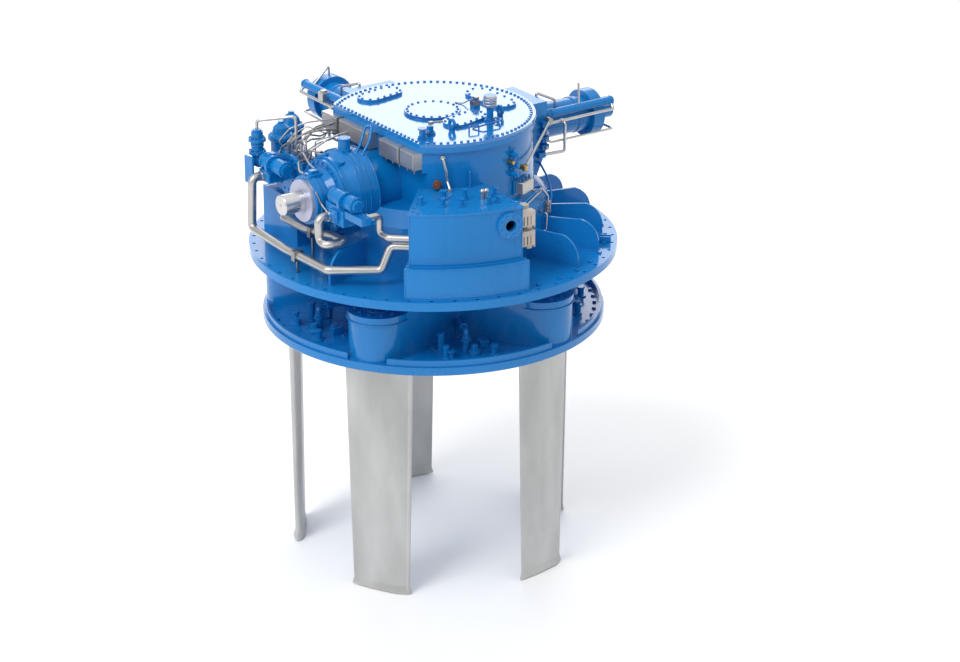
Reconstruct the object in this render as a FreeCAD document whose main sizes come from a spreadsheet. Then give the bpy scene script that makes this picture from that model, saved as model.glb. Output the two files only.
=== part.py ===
import FreeCAD, Part
import math
import os
import re
import Sketcher

# Cycloidal propeller with five vertical blades. Millimetres, +Z up. The origin
# is on the rotor axis at the mounting face under the hull flange. The input
# shaft points along -X, the two servomotors lie along +X and +Y.

Vector = FreeCAD.Vector
UP = Vector(0, 0, 1)
ALONG_X = Vector(1, 0, 0)
ALONG_Y = Vector(0, 1, 0)

doc = FreeCAD.newDocument("cycloidal_propeller")
sheet = doc.addObject("Spreadsheet::Sheet", "Sizes")

DRIVING_SIZES = {
    # running gap between moving faces, and the gap beside curved seats
    "running_gap": 0.3,
    # hull flange
    "flange_radius": 1844.0,
    "flange_thickness": 86.0,
    "flange_bolt_circle": 1795.0,
    "flange_bolt_count": 52,
    "flange_hole": 18.0,
    "seal_gap": 5.0,
    # housing drums
    "drum_wall": 50.0,
    "deck_plate": 40.0,
    "base_radius": 1130.0,
    "base_top": 560.0,
    "drum_radius": 1000.0,
    "drum_foot": 700.0,
    "head_floor": 1090.0,
    "waist_flat": 600.0,
    "head_flat": 640.0,
    "head_top": 1300.0,
    "rim_radius": 1025.0,
    "rim_thickness": 50.0,
    "rim_overhang": 32.0,
    "cover_thickness": 36.0,
    "cover_bolt_circle": 975.0,
    "cover_bolt_size": 16.0,
    # flange ribs
    "rib_thickness": 24.0,
    "rib_top": 400.0,
    "rib_reach": 1700.0,
    "rib_shoulder": 1525.0,
    "rib_toe": 150.0,
    # oil tank
    "tank_radius": 1785.0,
    "tank_upper_radius": 1722.0,
    "tank_step": 400.0,
    "tank_top": 935.0,
    "tank_plate": 20.0,
    "tank_start_angle": -133.0,
    "tank_end_angle": -93.3,
    "port_angle": -99.2,
    "port_height": 768.0,
    "port_bore": 55.0,
    "port_flange": 130.0,
    # drive line
    "shaft_height": 770.0,
    "shaft_radius": 104.0,
    "shaft_step": 3.0,
    "shaft_end": 1771.0,
    "journal_radius": 125.0,
    "barrel_radius": 350.0,
    "barrel_bore": 290.0,
    "barrel_shoulder": 425.0,
    "barrel_collar": 375.0,
    "barrel_plug": 60.0,
    "plug_place": 1037.0,
    "plug_top": 1310.0,
    "barrel_tube_length": 300.0,
    "barrel_end": 1245.0,
    "nose_end": 1500.0,
    "nose_radius": 240.0,
    "cap_ring_radius": 208.0,
    "cap_ring_length": 42.0,
    "crown_teeth": 72,
    "pinion_teeth": 15,
    "cone_distance": 870.0,
    "tooth_length": 200.0,
    "tooth_backlash": 3.0,
    "crown_thickness": 80.0,
    # rotor
    "neck_radius": 800.0,
    "neck_bore": 700.0,
    "disc_radius": 1722.0,
    "disc_drop": 718.0,
    "disc_thickness": 85.0,
    "disc_lip_radius": 1700.0,
    "disc_lip_width": 28.0,
    "disc_lip_height": 65.0,
    "lobe_reach": 1695.0,
    "lobe_top_radius": 300.0,
    "lobe_foot_radius": 288.0,
    "lip_gap": 60.0,
    "lobe_flare": 22.0,
    "lobe_top_drop": 170.0,
    "lobe_lip": 75.0,
    "cap_radius": 250.0,
    "cap_thickness": 30.0,
    "cap_bolt_circle": 225.0,
    "cap_bolt_size": 17.0,
    # main bearing
    "bearing_height": 160.0,
    "bearing_base": 110.0,
    "bearing_race": 50.0,
    # blades
    "blade_count": 5,
    "blade_orbit": 1400.0,
    "rotor_phase": -2.5,
    "blade_tip": 3204.0,
    "blade_clearance": 6.0,
    "root_chord": 720.0,
    "root_thickness": 122.0,
    "tip_chord": 606.0,
    "tip_thickness": 84.0,
    "lip_chord": 640.0,
    "lip_thickness": 14.0,
    "lip_flare": 60.0,
    "palm_radius": 200.0,
    "palm_depth": 30.0,
    "blade_shaft": 120.0,
    "blade_neck": 95.0,
    "blade_bearing": 160.0,
    # blade linkage
    "lever_arm": 170.0,
    "lever_height": -370.0,
    "lever_thickness": 50.0,
    "link_pin": 28.0,
    "link_length": 1000.0,
    "link_thickness": 40.0,
    "link_eye": 52.0,
    "chamber_radius": 232.0,
    "chamber_floor": -450.0,
    "chamber_roof": -310.0,
    # control column
    "pivot_height": 300.0,
    "carrier_drop": 145.0,
    "servo_height": 1035.0,
    "column_radius": 72.0,
    "column_ball": 90.0,
    "gimbal_inner": 115.0,
    "gimbal_outer": 170.0,
    "gimbal_height": 60.0,
    "trunnion": 25.0,
    "steering_height": -555.0,
    "steering_radius": 420.0,
    "steering_thickness": 45.0,
    # servomotors
    "console_face": 1190.0,
    "console_half_width": 290.0,
    "console_foot_drop": 220.0,
    "console_toe": 20.0,
    "servo_radius": 180.0,
    "servo_bore": 130.0,
    "servo_flange": 235.0,
    "servo_flange_thickness": 45.0,
    "servo_length": 640.0,
    "servo_collar": 238.0,
    "servo_collar_length": 130.0,
    "servo_tail_radius": 108.0,
    "servo_tail_length": 210.0,
    "piston_rod": 50.0,
    "push_gap": 1.0,
    "tongue_reach": 350.0,
    "pad_thickness": 60.0,
    "pad_offset": 3.0,
    "pad_width": 190.0,
    "piston_length": 90.0,
    # auxiliaries
    "pipe_radius": 44.0,
    "thin_pipe": 16.0,
    "filter_radius": 107.0,
    "filter_top": 1190.0,
    "filter_foot": 760.0,
    "pump_radius": 80.0,
    "frame_top": 560.0,
    "casing_top": 960.0,
    "casing_face": 1250.0,
    "box_depth": 98.0,
    "box_floor": 1130.0,
    "box_top": 1306.0,
}

for row, (name, value) in enumerate(DRIVING_SIZES.items(), start=1):
    sheet.set("A%d" % row, name)
    sheet.set("B%d" % row, str(value))
    sheet.setAlias("B%d" % row, name)
doc.recompute()

nodes = []


def bound(text):
    """Write a size formula so that other objects can follow the sheet."""
    return re.sub(r"[a-z]+_[a-z_]+|trunnion", lambda word: "Sizes." + word.group(0), text)


def size(text):
    """Work out a size formula from the sheet as a plain number."""
    return float(sheet.evalExpression(text))


def node(obj, label):
    """Name a finished sub-part and list it for writing."""
    obj.Label = label
    nodes.append(obj)
    return obj


def place(obj, at=("0", "0", "0"), turn=None):
    """Put an object at a place that follows the sheet."""
    if turn:
        obj.Placement = FreeCAD.Placement(Vector(), turn)
    for axis, text in zip("xyz", at):
        obj.setExpression("Placement.Base." + axis, bound(text))
    return obj


TURN_TO_X = FreeCAD.Rotation(ALONG_Y, 90)
TURN_TO_Y = FreeCAD.Rotation(ALONG_X, -90)


def cylinder(name, radius, height, at=("0", "0", "0"), turn=None):
    obj = doc.addObject("Part::Cylinder", name)
    obj.setExpression("Radius", bound(radius))
    obj.setExpression("Height", bound(height))
    return place(obj, at, turn)


def box(name, length, width, height, at=("0", "0", "0")):
    obj = doc.addObject("Part::Box", name)
    obj.setExpression("Length", bound(length))
    obj.setExpression("Width", bound(width))
    obj.setExpression("Height", bound(height))
    return place(obj, at)


def fuse(name, *parts):
    obj = doc.addObject("Part::MultiFuse", name)
    obj.Shapes = list(parts)
    return obj


def cut(name, base, *tools):
    """Take one or more tools away from a base."""
    obj = doc.addObject("Part::Cut", name)
    obj.Base = base
    obj.Tool = tools[0] if len(tools) == 1 else fuse(name + "_tools", *tools)
    return obj


def common(name, first, second):
    obj = doc.addObject("Part::Common", name)
    obj.Base = first
    obj.Tool = second
    return obj


def gather(name, *parts):
    """Keep several separate solids together in one sub-part."""
    obj = doc.addObject("Part::Compound", name)
    obj.Links = list(parts)
    return obj


def feature(name, shape, at=Vector(), turn=None):
    obj = doc.addObject("Part::Feature", name)
    obj.Shape = shape
    obj.Placement = FreeCAD.Placement(at, turn or FreeCAD.Rotation()) * shape.Placement
    return obj


def origin_plane(body, role):
    return next(item for item in body.Origin.OriginFeatures if item.Role == role)


def corner_sketch(body, name, role, corners):
    """Draw a closed outline whose corners follow the sheet."""
    sketch = body.newObject("Sketcher::SketchObject", name)
    sketch.AttachmentSupport = [(origin_plane(body, role), "")]
    sketch.MapMode = "FlatFace"
    points = [Vector(size(across), size(along), 0) for across, along in corners]
    count = len(points)
    for index in range(count):
        line = Part.LineSegment(points[index], points[(index + 1) % count])
        sketch.addGeometry(line, False)
    for index in range(count):
        following = (index + 1) % count
        sketch.addConstraint(Sketcher.Constraint("Coincident", index, 2, following, 1))
    for index, (across, along) in enumerate(corners):
        for kind, text, value in (("DistanceX", across, points[index].x), ("DistanceY", along, points[index].y)):
            number = sketch.addConstraint(Sketcher.Constraint(kind, -1, 1, index, 1, value))
            sketch.setExpression("Constraints[%d]" % number, bound(text))
    return sketch


def turned(name, corners, axis="Z", at=("0", "0", "0"), turn=None):
    """Turn an outline of radius and height about Z, or of length and radius about X."""
    body = doc.addObject("PartDesign::Body", name)
    sketch = corner_sketch(body, name + "_outline", "XZ_Plane", corners)
    turning = body.newObject("PartDesign::Revolution", name + "_turning")
    turning.Profile = sketch
    turning.ReferenceAxis = (sketch, ["V_Axis" if axis == "Z" else "H_Axis"])
    turning.Angle = 360
    return place(body, at, turn)


def ring_profile(inner, outer, floor, top):
    return [(inner, floor), (outer, floor), (outer, top), (inner, top)]


def hexagon_head(radius, height, centre):
    """A plain hexagon bolt head standing on a point."""
    corners = [Vector(radius * math.cos(k * math.pi / 3), radius * math.sin(k * math.pi / 3), 0) for k in range(7)]
    head = Part.Face(Part.makePolygon(corners)).extrude(Vector(0, 0, height))
    head.translate(centre)
    return head


def polar(radius, angle, height=0.0):
    """A point at a radius and an angle in degrees."""
    return Vector(radius * math.cos(math.radians(angle)), radius * math.sin(math.radians(angle)), height)


def bent_bar(points, radius, bend):
    """Sweep a round bar along straight runs joined by tangent arcs."""
    edges = []
    start = points[0]
    for before, corner, after in zip(points, points[1:], points[2:]):
        way_in = (corner - before).normalize()
        way_out = (after - corner).normalize()
        half_turn = way_in.getAngle(way_out) / 2
        reach = bend * math.tan(half_turn)
        arc_start = corner - way_in * reach
        arc_end = corner + way_out * reach
        middle = corner + (way_out - way_in).normalize() * (bend / math.cos(half_turn) - bend)
        edges.append(Part.LineSegment(start, arc_start).toShape())
        edges.append(Part.Arc(arc_start, middle, arc_end).toShape())
        start = arc_end
    edges.append(Part.LineSegment(start, points[-1]).toShape())
    path = Part.Wire(edges)
    section = Part.Wire(Part.makeCircle(radius, points[0], points[1] - points[0]))
    return path.makePipeShell([section], True, True)


# Hull flange: a machined ring plate with one circle of bolt holes.
flange_body = doc.addObject("PartDesign::Body", "hull_flange")
flange_outline = corner_sketch(flange_body, "flange_outline", "XZ_Plane", ring_profile(
    "neck_radius + seal_gap", "flange_radius", "0", "flange_thickness"))
flange_turning = flange_body.newObject("PartDesign::Revolution", "flange_turning")
flange_turning.Profile = flange_outline
flange_turning.ReferenceAxis = (flange_outline, ["V_Axis"])
flange_turning.Angle = 360
hole_sketch = flange_body.newObject("Sketcher::SketchObject", "flange_hole_outline")
hole_sketch.AttachmentSupport = [(origin_plane(flange_body, "XY_Plane"), "")]
hole_sketch.MapMode = "FlatFace"
hole_circle = Part.Circle(Vector(size("flange_bolt_circle"), 0, 0), UP, size("flange_hole"))
hole_sketch.addGeometry(hole_circle, False)
for kind, text in (("DistanceX", "flange_bolt_circle"), ("DistanceY", "0 * flange_hole")):
    number = hole_sketch.addConstraint(Sketcher.Constraint(kind, -1, 1, 0, 3, size(text)))
    hole_sketch.setExpression("Constraints[%d]" % number, bound(text))
number = hole_sketch.addConstraint(Sketcher.Constraint("Radius", 0, size("flange_hole")))
hole_sketch.setExpression("Constraints[%d]" % number, bound("flange_hole"))
hole_pocket = flange_body.newObject("PartDesign::Pocket", "flange_hole_cut")
hole_pocket.Profile = hole_sketch
hole_pocket.Type = "ThroughAll"
hole_pocket.Midplane = True
hole_pattern = flange_body.newObject("PartDesign::PolarPattern", "flange_hole_circle")
hole_pattern.Originals = [hole_pocket]
hole_pattern.Axis = (flange_outline, ["V_Axis"])
hole_pattern.Angle = 360
hole_pattern.setExpression("Occurrences", bound("flange_bolt_count"))
flange_body.Tip = hole_pattern
node(flange_body, "hull_flange")

# Lower housing: a welded drum on the flange. On the drive side its upper part
# is set back to a flat wall behind the gear barrel.
drum = turned("housing_drum", [
    ("drum_radius - drum_wall", "flange_thickness"),
    ("base_radius", "flange_thickness"),
    ("base_radius", "base_top"),
    ("drum_radius", "drum_foot"),
    ("drum_radius", "head_floor"),
    ("drum_radius - drum_wall", "head_floor"),
])
recess = box("drive_recess", "drum_radius", "3 * drum_radius", "head_floor", (
    "-waist_flat - drum_radius", "-1.5 * drum_radius", "drum_foot"))
drum_blank = cylinder("drum_blank", "drum_radius - drum_wall + seal_gap", "head_floor - drum_foot + deck_plate", (
    "0", "0", "drum_foot - deck_plate"))
flat_slab = box("flat_wall_slab", "drum_wall", "2 * drum_radius", "head_floor", (
    "-waist_flat", "-drum_radius", "drum_foot - deck_plate"))
deck_slab = box("deck_slab", "drum_radius", "2 * drum_radius", "deck_plate", (
    "-waist_flat - drum_radius", "-drum_radius", "drum_foot - deck_plate"))
flat_wall = common("flat_wall", drum_blank, fuse("wall_slabs", flat_slab, deck_slab))
barrel_clearance = turned("barrel_clearance", [
    ("-waist_flat - barrel_tube_length + running_gap", "0"),
    ("-waist_flat - barrel_tube_length + running_gap", "barrel_radius + running_gap"),
    ("-waist_flat + 1", "barrel_radius + running_gap"),
    ("-waist_flat + 1", "0"),
], "X", ("0", "0", "shaft_height"))
shoulder_clearance = turned("shoulder_clearance", [
    ("-barrel_end", "0"),
    ("-barrel_end", "barrel_shoulder + running_gap"),
    ("-waist_flat - barrel_tube_length + running_gap", "barrel_shoulder + running_gap"),
    ("-waist_flat - barrel_tube_length + running_gap", "0"),
], "X", ("0", "0", "shaft_height"))
rod_hole_x = cylinder("rod_hole_x", "piston_rod + 2 * seal_gap", "base_radius", (
    "waist_flat", "0", "servo_height"), TURN_TO_X)
rod_hole_y = cylinder("rod_hole_y", "piston_rod + 2 * seal_gap", "base_radius", (
    "0", "waist_flat", "servo_height"), TURN_TO_Y)
drum_shell = fuse("drum_shell", cut("open_drum", drum, recess), flat_wall)
node(cut("lower_housing", drum_shell, barrel_clearance, shoulder_clearance, rod_hole_x, rod_hole_y),
     "lower_housing")


# Flange ribs: upright radial plates with a rounded outer end.
def rib_shape(angle):
    inner = size("base_radius + running_gap")
    floor = size("flange_thickness")
    top = size("rib_top")
    shoulder = size("rib_shoulder")
    reach = size("rib_reach")
    toe = size("rib_toe")
    shoulder_bow = Vector(shoulder + 0.66 * (reach - shoulder), 0, toe + 0.72 * (top - toe))
    edges = [
        Part.LineSegment(Vector(inner, 0, floor), Vector(inner, 0, top)).toShape(),
        Part.LineSegment(Vector(inner, 0, top), Vector(shoulder, 0, top)).toShape(),
        Part.Arc(Vector(shoulder, 0, top), shoulder_bow, Vector(reach, 0, toe)).toShape(),
        Part.LineSegment(Vector(reach, 0, toe), Vector(reach, 0, floor)).toShape(),
        Part.LineSegment(Vector(reach, 0, floor), Vector(inner, 0, floor)).toShape(),
    ]
    thickness = size("rib_thickness")
    plate = Part.Face(Part.Wire(edges)).extrude(Vector(0, thickness, 0))
    plate.translate(Vector(0, -thickness / 2, 0))
    plate.rotate(Vector(), UP, angle)
    return plate


RIB_ANGLES = [-160, -68, -50, -32, -14, 4, 22, 40, 58, 76, 94, 112, 130]
node(feature("flange_ribs", Part.makeCompound([rib_shape(angle) for angle in RIB_ANGLES])), "flange_ribs")


# Upper housing: a drum with one flat side, a bolting rim and two consoles that
# carry the servomotors.
def flat_sided(name, radius, flat, floor, height):
    """A round slab at a height with its -X side cut flat."""
    slab = cylinder(name + "_round", radius, height, ("0", "0", floor))
    waste = box(name + "_waste", radius, "2 * (" + radius + ")", height, (
        "-(" + flat + ") - (" + radius + ")", "-(" + radius + ")", floor))
    return cut(name, slab, waste)


head_outer = flat_sided("head_outer", "drum_radius", "head_flat", "head_floor", "head_top - head_floor")
head_rim = flat_sided("head_rim", "rim_radius", "head_flat + rim_overhang", "head_top", "rim_thickness")
head_inner = flat_sided("head_inner", "drum_radius - drum_wall", "head_flat - drum_wall", "head_floor",
                        "head_top + rim_thickness - head_floor")


def console(name, role):
    """A tapered bracket from the drum out to a servomotor's face."""
    body = doc.addObject("PartDesign::Body", name)
    corners = [
        ("drum_radius - drum_wall", "head_top + rim_thickness"),
        ("console_face", "head_top + rim_thickness"),
        ("console_face", "servo_height - servo_radius"),
        ("drum_radius + console_toe", "drum_foot - console_foot_drop"),
        ("drum_radius - drum_wall", "drum_foot - console_foot_drop"),
    ]
    sketch = corner_sketch(body, name + "_outline", "XZ_Plane", corners)
    pad = body.newObject("PartDesign::Pad", name + "_pad")
    pad.Profile = sketch
    pad.setExpression("Length", bound("2 * console_half_width"))
    pad.Midplane = True
    if role == "Y":
        body.Placement = FreeCAD.Placement(Vector(), FreeCAD.Rotation(UP, 90))
    return body


drum_keepout = turned("drum_keepout", [
    ("0", "0"),
    ("base_radius + running_gap", "0"),
    ("base_radius + running_gap", "base_top"),
    ("drum_radius + running_gap", "drum_foot"),
    ("drum_radius + running_gap", "head_floor"),
    ("0", "head_floor"),
])
console_x = cut("console_x_fitted", console("console_x", "X"), drum_keepout)
console_y = cut("console_y_fitted", console("console_y", "Y"), drum_keepout)
head_shell = fuse("head_shell", head_outer, head_rim, console_x, console_y)
head_rod_hole_x = cylinder("head_rod_hole_x", "piston_rod + running_gap", "base_radius", (
    "waist_flat", "0", "servo_height"), TURN_TO_X)
head_rod_hole_y = cylinder("head_rod_hole_y", "piston_rod + running_gap", "base_radius", (
    "0", "waist_flat", "servo_height"), TURN_TO_Y)
node(cut("upper_housing", head_shell, head_inner, head_rod_hole_x, head_rod_hole_y), "upper_housing")

# Top cover: a flat plate of the same outline, with its bolts along the edge.
node(flat_sided("top_cover", "rim_radius - 5", "head_flat + rim_overhang - 5", "head_top + rim_thickness",
                "cover_thickness"), "top_cover")


def cover_bolts():
    top = size("head_top + rim_thickness + cover_thickness")
    circle = size("cover_bolt_circle")
    flat = size("head_flat")
    radius = size("cover_bolt_size")
    end_angle = 180 - math.degrees(math.acos(flat / circle))
    arc_count = 68
    flat_count = 22
    centres = [polar(circle, -end_angle + 2 * end_angle * k / (arc_count - 1), top) for k in range(arc_count)]
    half = circle * math.sin(math.radians(end_angle))
    for k in range(1, flat_count):
        centres.append(Vector(-flat, -half + 2 * half * k / flat_count, top))
    return [hexagon_head(radius, 0.8 * radius, centre) for centre in centres]


node(feature("cover_bolts", Part.makeCompound(cover_bolts())), "cover_bolts")


# Hatches: one round and three oblong lids on the cover.
def oblong(centre, length, width, height, angle):
    """An oblong plate with round ends."""
    straight = (length - width) / 2
    half = width / 2
    edges = [
        Part.LineSegment(Vector(-straight, half, 0), Vector(straight, half, 0)).toShape(),
        Part.Arc(Vector(straight, half, 0), Vector(straight + half, 0, 0), Vector(straight, -half, 0)).toShape(),
        Part.LineSegment(Vector(straight, -half, 0), Vector(-straight, -half, 0)).toShape(),
        Part.Arc(Vector(-straight, -half, 0), Vector(-straight - half, 0, 0), Vector(-straight, half, 0)).toShape(),
    ]
    plate = Part.Face(Part.Wire(edges)).extrude(Vector(0, 0, height))
    plate.rotate(Vector(), UP, angle)
    plate.translate(centre)
    return plate


cover_top = size("head_top + rim_thickness + cover_thickness")
HATCH_HEIGHT = 28
ROUND_HATCH_RADIUS = 277
# centre x and y, length, width and angle of each oblong lid
OBLONG_HATCHES = [(-147, 722, 530, 270, 11), (694, -10, 680, 300, 89), (110, -408, 530, 270, 15)]
hatch_lids = [Part.makeCylinder(ROUND_HATCH_RADIUS, HATCH_HEIGHT, Vector(0, 0, cover_top))]
for x, y, length, width, angle in OBLONG_HATCHES:
    hatch_lids.append(oblong(Vector(x, y, cover_top), length, width, HATCH_HEIGHT, angle))
node(feature("hatch_lids", Part.makeCompound(hatch_lids)), "hatch_lids")


# Oil tank: a welded sector in front of the drum with a step in its front wall,
# a top plate and a round port.
def sector(inner, outer, floor, top, start, end):
    """A block between two radii and two angles."""
    arc_middle = (start + end) / 2
    edges = [
        Part.Arc(polar(outer, start, floor), polar(outer, arc_middle, floor), polar(outer, end, floor)).toShape(),
        Part.LineSegment(polar(outer, end, floor), polar(inner, end, floor)).toShape(),
        Part.Arc(polar(inner, end, floor), polar(inner, arc_middle, floor), polar(inner, start, floor)).toShape(),
        Part.LineSegment(polar(inner, start, floor), polar(outer, start, floor)).toShape(),
    ]
    return Part.Face(Part.Wire(edges)).extrude(Vector(0, 0, top - floor))


def tank_shapes():
    inner = size("base_radius + running_gap")
    lower = size("tank_radius")
    upper = size("tank_upper_radius")
    floor = size("flange_thickness")
    step = size("tank_step")
    top = size("tank_top")
    plate = size("tank_plate")
    start = size("tank_start_angle")
    end = size("tank_end_angle")
    inset = 1.3
    wall = math.degrees(plate / upper)
    outside = sector(inner, lower, floor, step, start, end).fuse(
        sector(inner, upper, step, top - plate, start + inset, end - inset))
    inside = sector(inner + plate, lower - plate, floor + plate, step - plate, start + wall, end - wall).fuse(
        sector(inner + plate, upper - plate, step - plate, top, start + inset + wall, end - inset - wall))
    port_angle = size("port_angle")
    outward = polar(1, port_angle)
    bore = Part.makeCylinder(size("port_bore"), 300, polar(upper - 150, port_angle, size("port_height")), outward)
    walls = outside.cut(inside).cut(bore)
    lid = sector(size("drum_radius + running_gap"), upper + 8, top - plate, top, start + inset - 0.4,
                 end - inset + 0.4)
    return walls, lid


tank_walls, tank_lid = tank_shapes()
node(feature("oil_tank", tank_walls), "oil_tank")
node(feature("tank_lid", tank_lid), "tank_lid")


def port_flange():
    angle = size("port_angle")
    outward = polar(1, angle)
    face = polar(size("tank_upper_radius"), angle, size("port_height"))
    back = face - outward * 12
    ring = Part.makeCylinder(size("port_flange"), 46, back, outward)
    ring = ring.cut(Part.makeCylinder(size("port_bore"), 80, back - outward * 5, outward))
    return ring.cut(Part.makeCylinder(size("tank_upper_radius + running_gap"), 600, Vector(0, 0, size("tank_step"))))


node(feature("tank_port", port_flange()), "tank_port")

# Gear barrel: the horizontal casing round the pinion. The bolted nose on it
# holds the shaft bearings and ends in a bright cap ring.
barrel_tube = turned("barrel_tube", [
    ("-waist_flat", "barrel_bore"),
    ("-waist_flat", "barrel_radius"),
    ("-waist_flat - barrel_tube_length", "barrel_radius"),
    ("-waist_flat - barrel_tube_length", "barrel_shoulder"),
    ("-barrel_end + 135", "barrel_shoulder"),
    ("-barrel_end + 50", "barrel_collar"),
    ("-barrel_end", "barrel_collar"),
    ("-barrel_end", "barrel_bore"),
], "X", ("0", "0", "shaft_height"))
crown_room = cylinder("crown_room", "drum_radius - drum_wall", "drum_foot - deck_plate", ("0", "0", "0"))
head_room = box("head_room", "head_flat", "drum_radius", "head_floor", (
    "-head_flat - running_gap", "-drum_radius / 2", "head_floor - running_gap"))
barrel_plug = cylinder("barrel_plug_post", "barrel_plug", "plug_top - shaft_height - barrel_radius", (
    "-plug_place", "0", "shaft_height + barrel_radius"))
node(cut("gear_barrel", fuse("barrel_casing", barrel_tube, barrel_plug), crown_room, head_room), "gear_barrel")
node(turned("bearing_nose", [
    ("-barrel_end", "journal_radius + bearing_race"),
    ("-barrel_end", "barrel_collar - 10"),
    ("-barrel_end - 45", "barrel_collar - 10"),
    ("-barrel_end - 45", "nose_radius + 50"),
    ("-barrel_end - 110", "nose_radius"),
    ("-nose_end", "nose_radius"),
    ("-nose_end", "journal_radius + bearing_race"),
], "X", ("0", "0", "shaft_height")), "bearing_nose")
node(turned("shaft_bearing", ring_profile(
    "-nose_end + 10", "-nose_end + 190", "journal_radius + running_gap", "journal_radius + bearing_race"),
    "X", ("0", "0", "shaft_height")), "shaft_bearing")
node(turned("cap_ring", ring_profile(
    "-nose_end - cap_ring_length", "-nose_end", "shaft_radius + shaft_step + running_gap", "cap_ring_radius"),
    "X", ("0", "0", "shaft_height")), "cap_ring")


# Bevel gears: straight teeth that all point to the crossing of the two axes.
def bevel_tooth(pitch_angle, share, side, sink):
    """One tooth on the cone about +Z with its apex at the origin and opening downwards."""
    module = share * 2 * math.sin(math.radians(pitch_angle))
    along = Vector(math.sin(math.radians(pitch_angle)), 0, -math.cos(math.radians(pitch_angle)))
    outward = Vector(math.cos(math.radians(pitch_angle)), 0, math.sin(math.radians(pitch_angle)))
    outward = outward * side
    slope = math.tan(math.radians(20))
    wires = []
    for distance in (size("cone_distance"), size("cone_distance - tooth_length")):
        scale = distance / size("cone_distance")
        centre = along * distance
        half = (math.pi * module / 4 - size("tooth_backlash")) * scale
        tip = 0.95 * module * scale
        root = 1.2 * module * scale + sink
        corners = []
        for rise, flank in ((tip, half - tip * slope), (-root, half + root * slope)):
            corners.append((rise, flank))
        points = [
            centre + outward * corners[0][0] + Vector(0, corners[0][1], 0),
            centre + outward * corners[0][0] - Vector(0, corners[0][1], 0),
            centre + outward * corners[1][0] - Vector(0, corners[1][1], 0),
            centre + outward * corners[1][0] + Vector(0, corners[1][1], 0),
        ]
        wires.append(Part.makePolygon(points + points[:1]))
    return Part.makeLoft(wires, True, True)


crown_count = int(size("crown_teeth"))
pinion_count = int(size("pinion_teeth"))
crown_angle = math.degrees(math.atan2(crown_count, pinion_count))
cone_distance = size("cone_distance")
crown_share = cone_distance / crown_count
pinion_share = cone_distance / pinion_count
crown_module = crown_share * 2 * math.sin(math.radians(crown_angle))
inner_scale = size("cone_distance - tooth_length") / cone_distance
apex = Vector(0, 0, size("shaft_height"))


def crown_gear():
    slant = math.radians(crown_angle)
    outer_radius = cone_distance * math.sin(slant)
    root = 1.2 * crown_module
    outer_top = -cone_distance * math.cos(slant) - root
    inner_radius = outer_radius * inner_scale
    inner_top = outer_top * inner_scale
    floor = outer_top - size("crown_thickness")
    outline = Part.makePolygon([
        Vector(inner_radius, 0, floor),
        Vector(outer_radius + 8, 0, floor),
        Vector(outer_radius + 8, 0, outer_top),
        Vector(outer_radius, 0, outer_top),
        Vector(inner_radius, 0, inner_top),
        Vector(inner_radius, 0, floor),
    ])
    ring = Part.Face(outline).revolve(Vector(), UP, 360)
    teeth = []
    for k in range(crown_count):
        tooth = bevel_tooth(crown_angle, crown_share, 1, 3)
        tooth.rotate(Vector(), UP, 360 * k / crown_count)
        teeth.append(tooth)
    gear = ring.multiFuse(teeth)
    gear.translate(apex)
    return gear, floor + apex.z


crown_shape, crown_floor = crown_gear()
node(feature("crown_gear", crown_shape), "crown_gear")


def pinion_head():
    slant = math.radians(90 - crown_angle)
    outer_radius = cone_distance * math.sin(slant)
    root = 1.2 * crown_module
    outer = outer_radius - root
    reach = cone_distance * math.cos(slant)
    inner = outer * inner_scale
    outline = Part.makePolygon([
        Vector(0, 0, -reach * inner_scale),
        Vector(inner, 0, -reach * inner_scale),
        Vector(outer, 0, -reach),
        Vector(outer, 0, -reach - 30),
        Vector(0, 0, -reach - 30),
        Vector(0, 0, -reach * inner_scale),
    ])
    blank = Part.Face(outline).revolve(Vector(), UP, 360)
    teeth = []
    for k in range(pinion_count):
        tooth = bevel_tooth(90 - crown_angle, pinion_share, 1, 3)
        tooth.rotate(Vector(), UP, 360 * k / pinion_count)
        teeth.append(tooth)
    head = blank.multiFuse(teeth)
    # the tooth on local +X is laid upwards, so that a gap meets the crown gear
    head.rotate(Vector(), ALONG_Y, 90)
    head.rotate(Vector(), ALONG_X, 180)
    head.translate(apex)
    return head


pinion = feature("pinion_head", pinion_head())
pinion_back = size("cone_distance") * math.sin(math.radians(crown_angle)) + 30
shaft_bar = turned("shaft_bar", [
    ("-shaft_end", "0"),
    ("-shaft_end", "shaft_radius - 10"),
    ("-shaft_end + 10", "shaft_radius"),
    ("-nose_end - cap_ring_length - seal_gap", "shaft_radius"),
    ("-nose_end - cap_ring_length - seal_gap", "shaft_radius + shaft_step"),
    ("-nose_end + 5", "shaft_radius + shaft_step"),
    ("-nose_end + 5", "journal_radius"),
    ("-barrel_end + 100", "journal_radius"),
    ("-cone_distance * sin(atan2(crown_teeth; pinion_teeth)) - 29", "journal_radius - 20"),
    ("-cone_distance * sin(atan2(crown_teeth; pinion_teeth)) - 29", "0"),
], "X", ("0", "0", "shaft_height"))
node(fuse("input_shaft", shaft_bar, pinion), "input_shaft")

# Rotor: the neck runs up through the flange to the crown gear; the casing
# below it has a window for each blade link.
def blade_angle(index):
    return size("rotor_phase") + 72.0 * index


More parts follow.
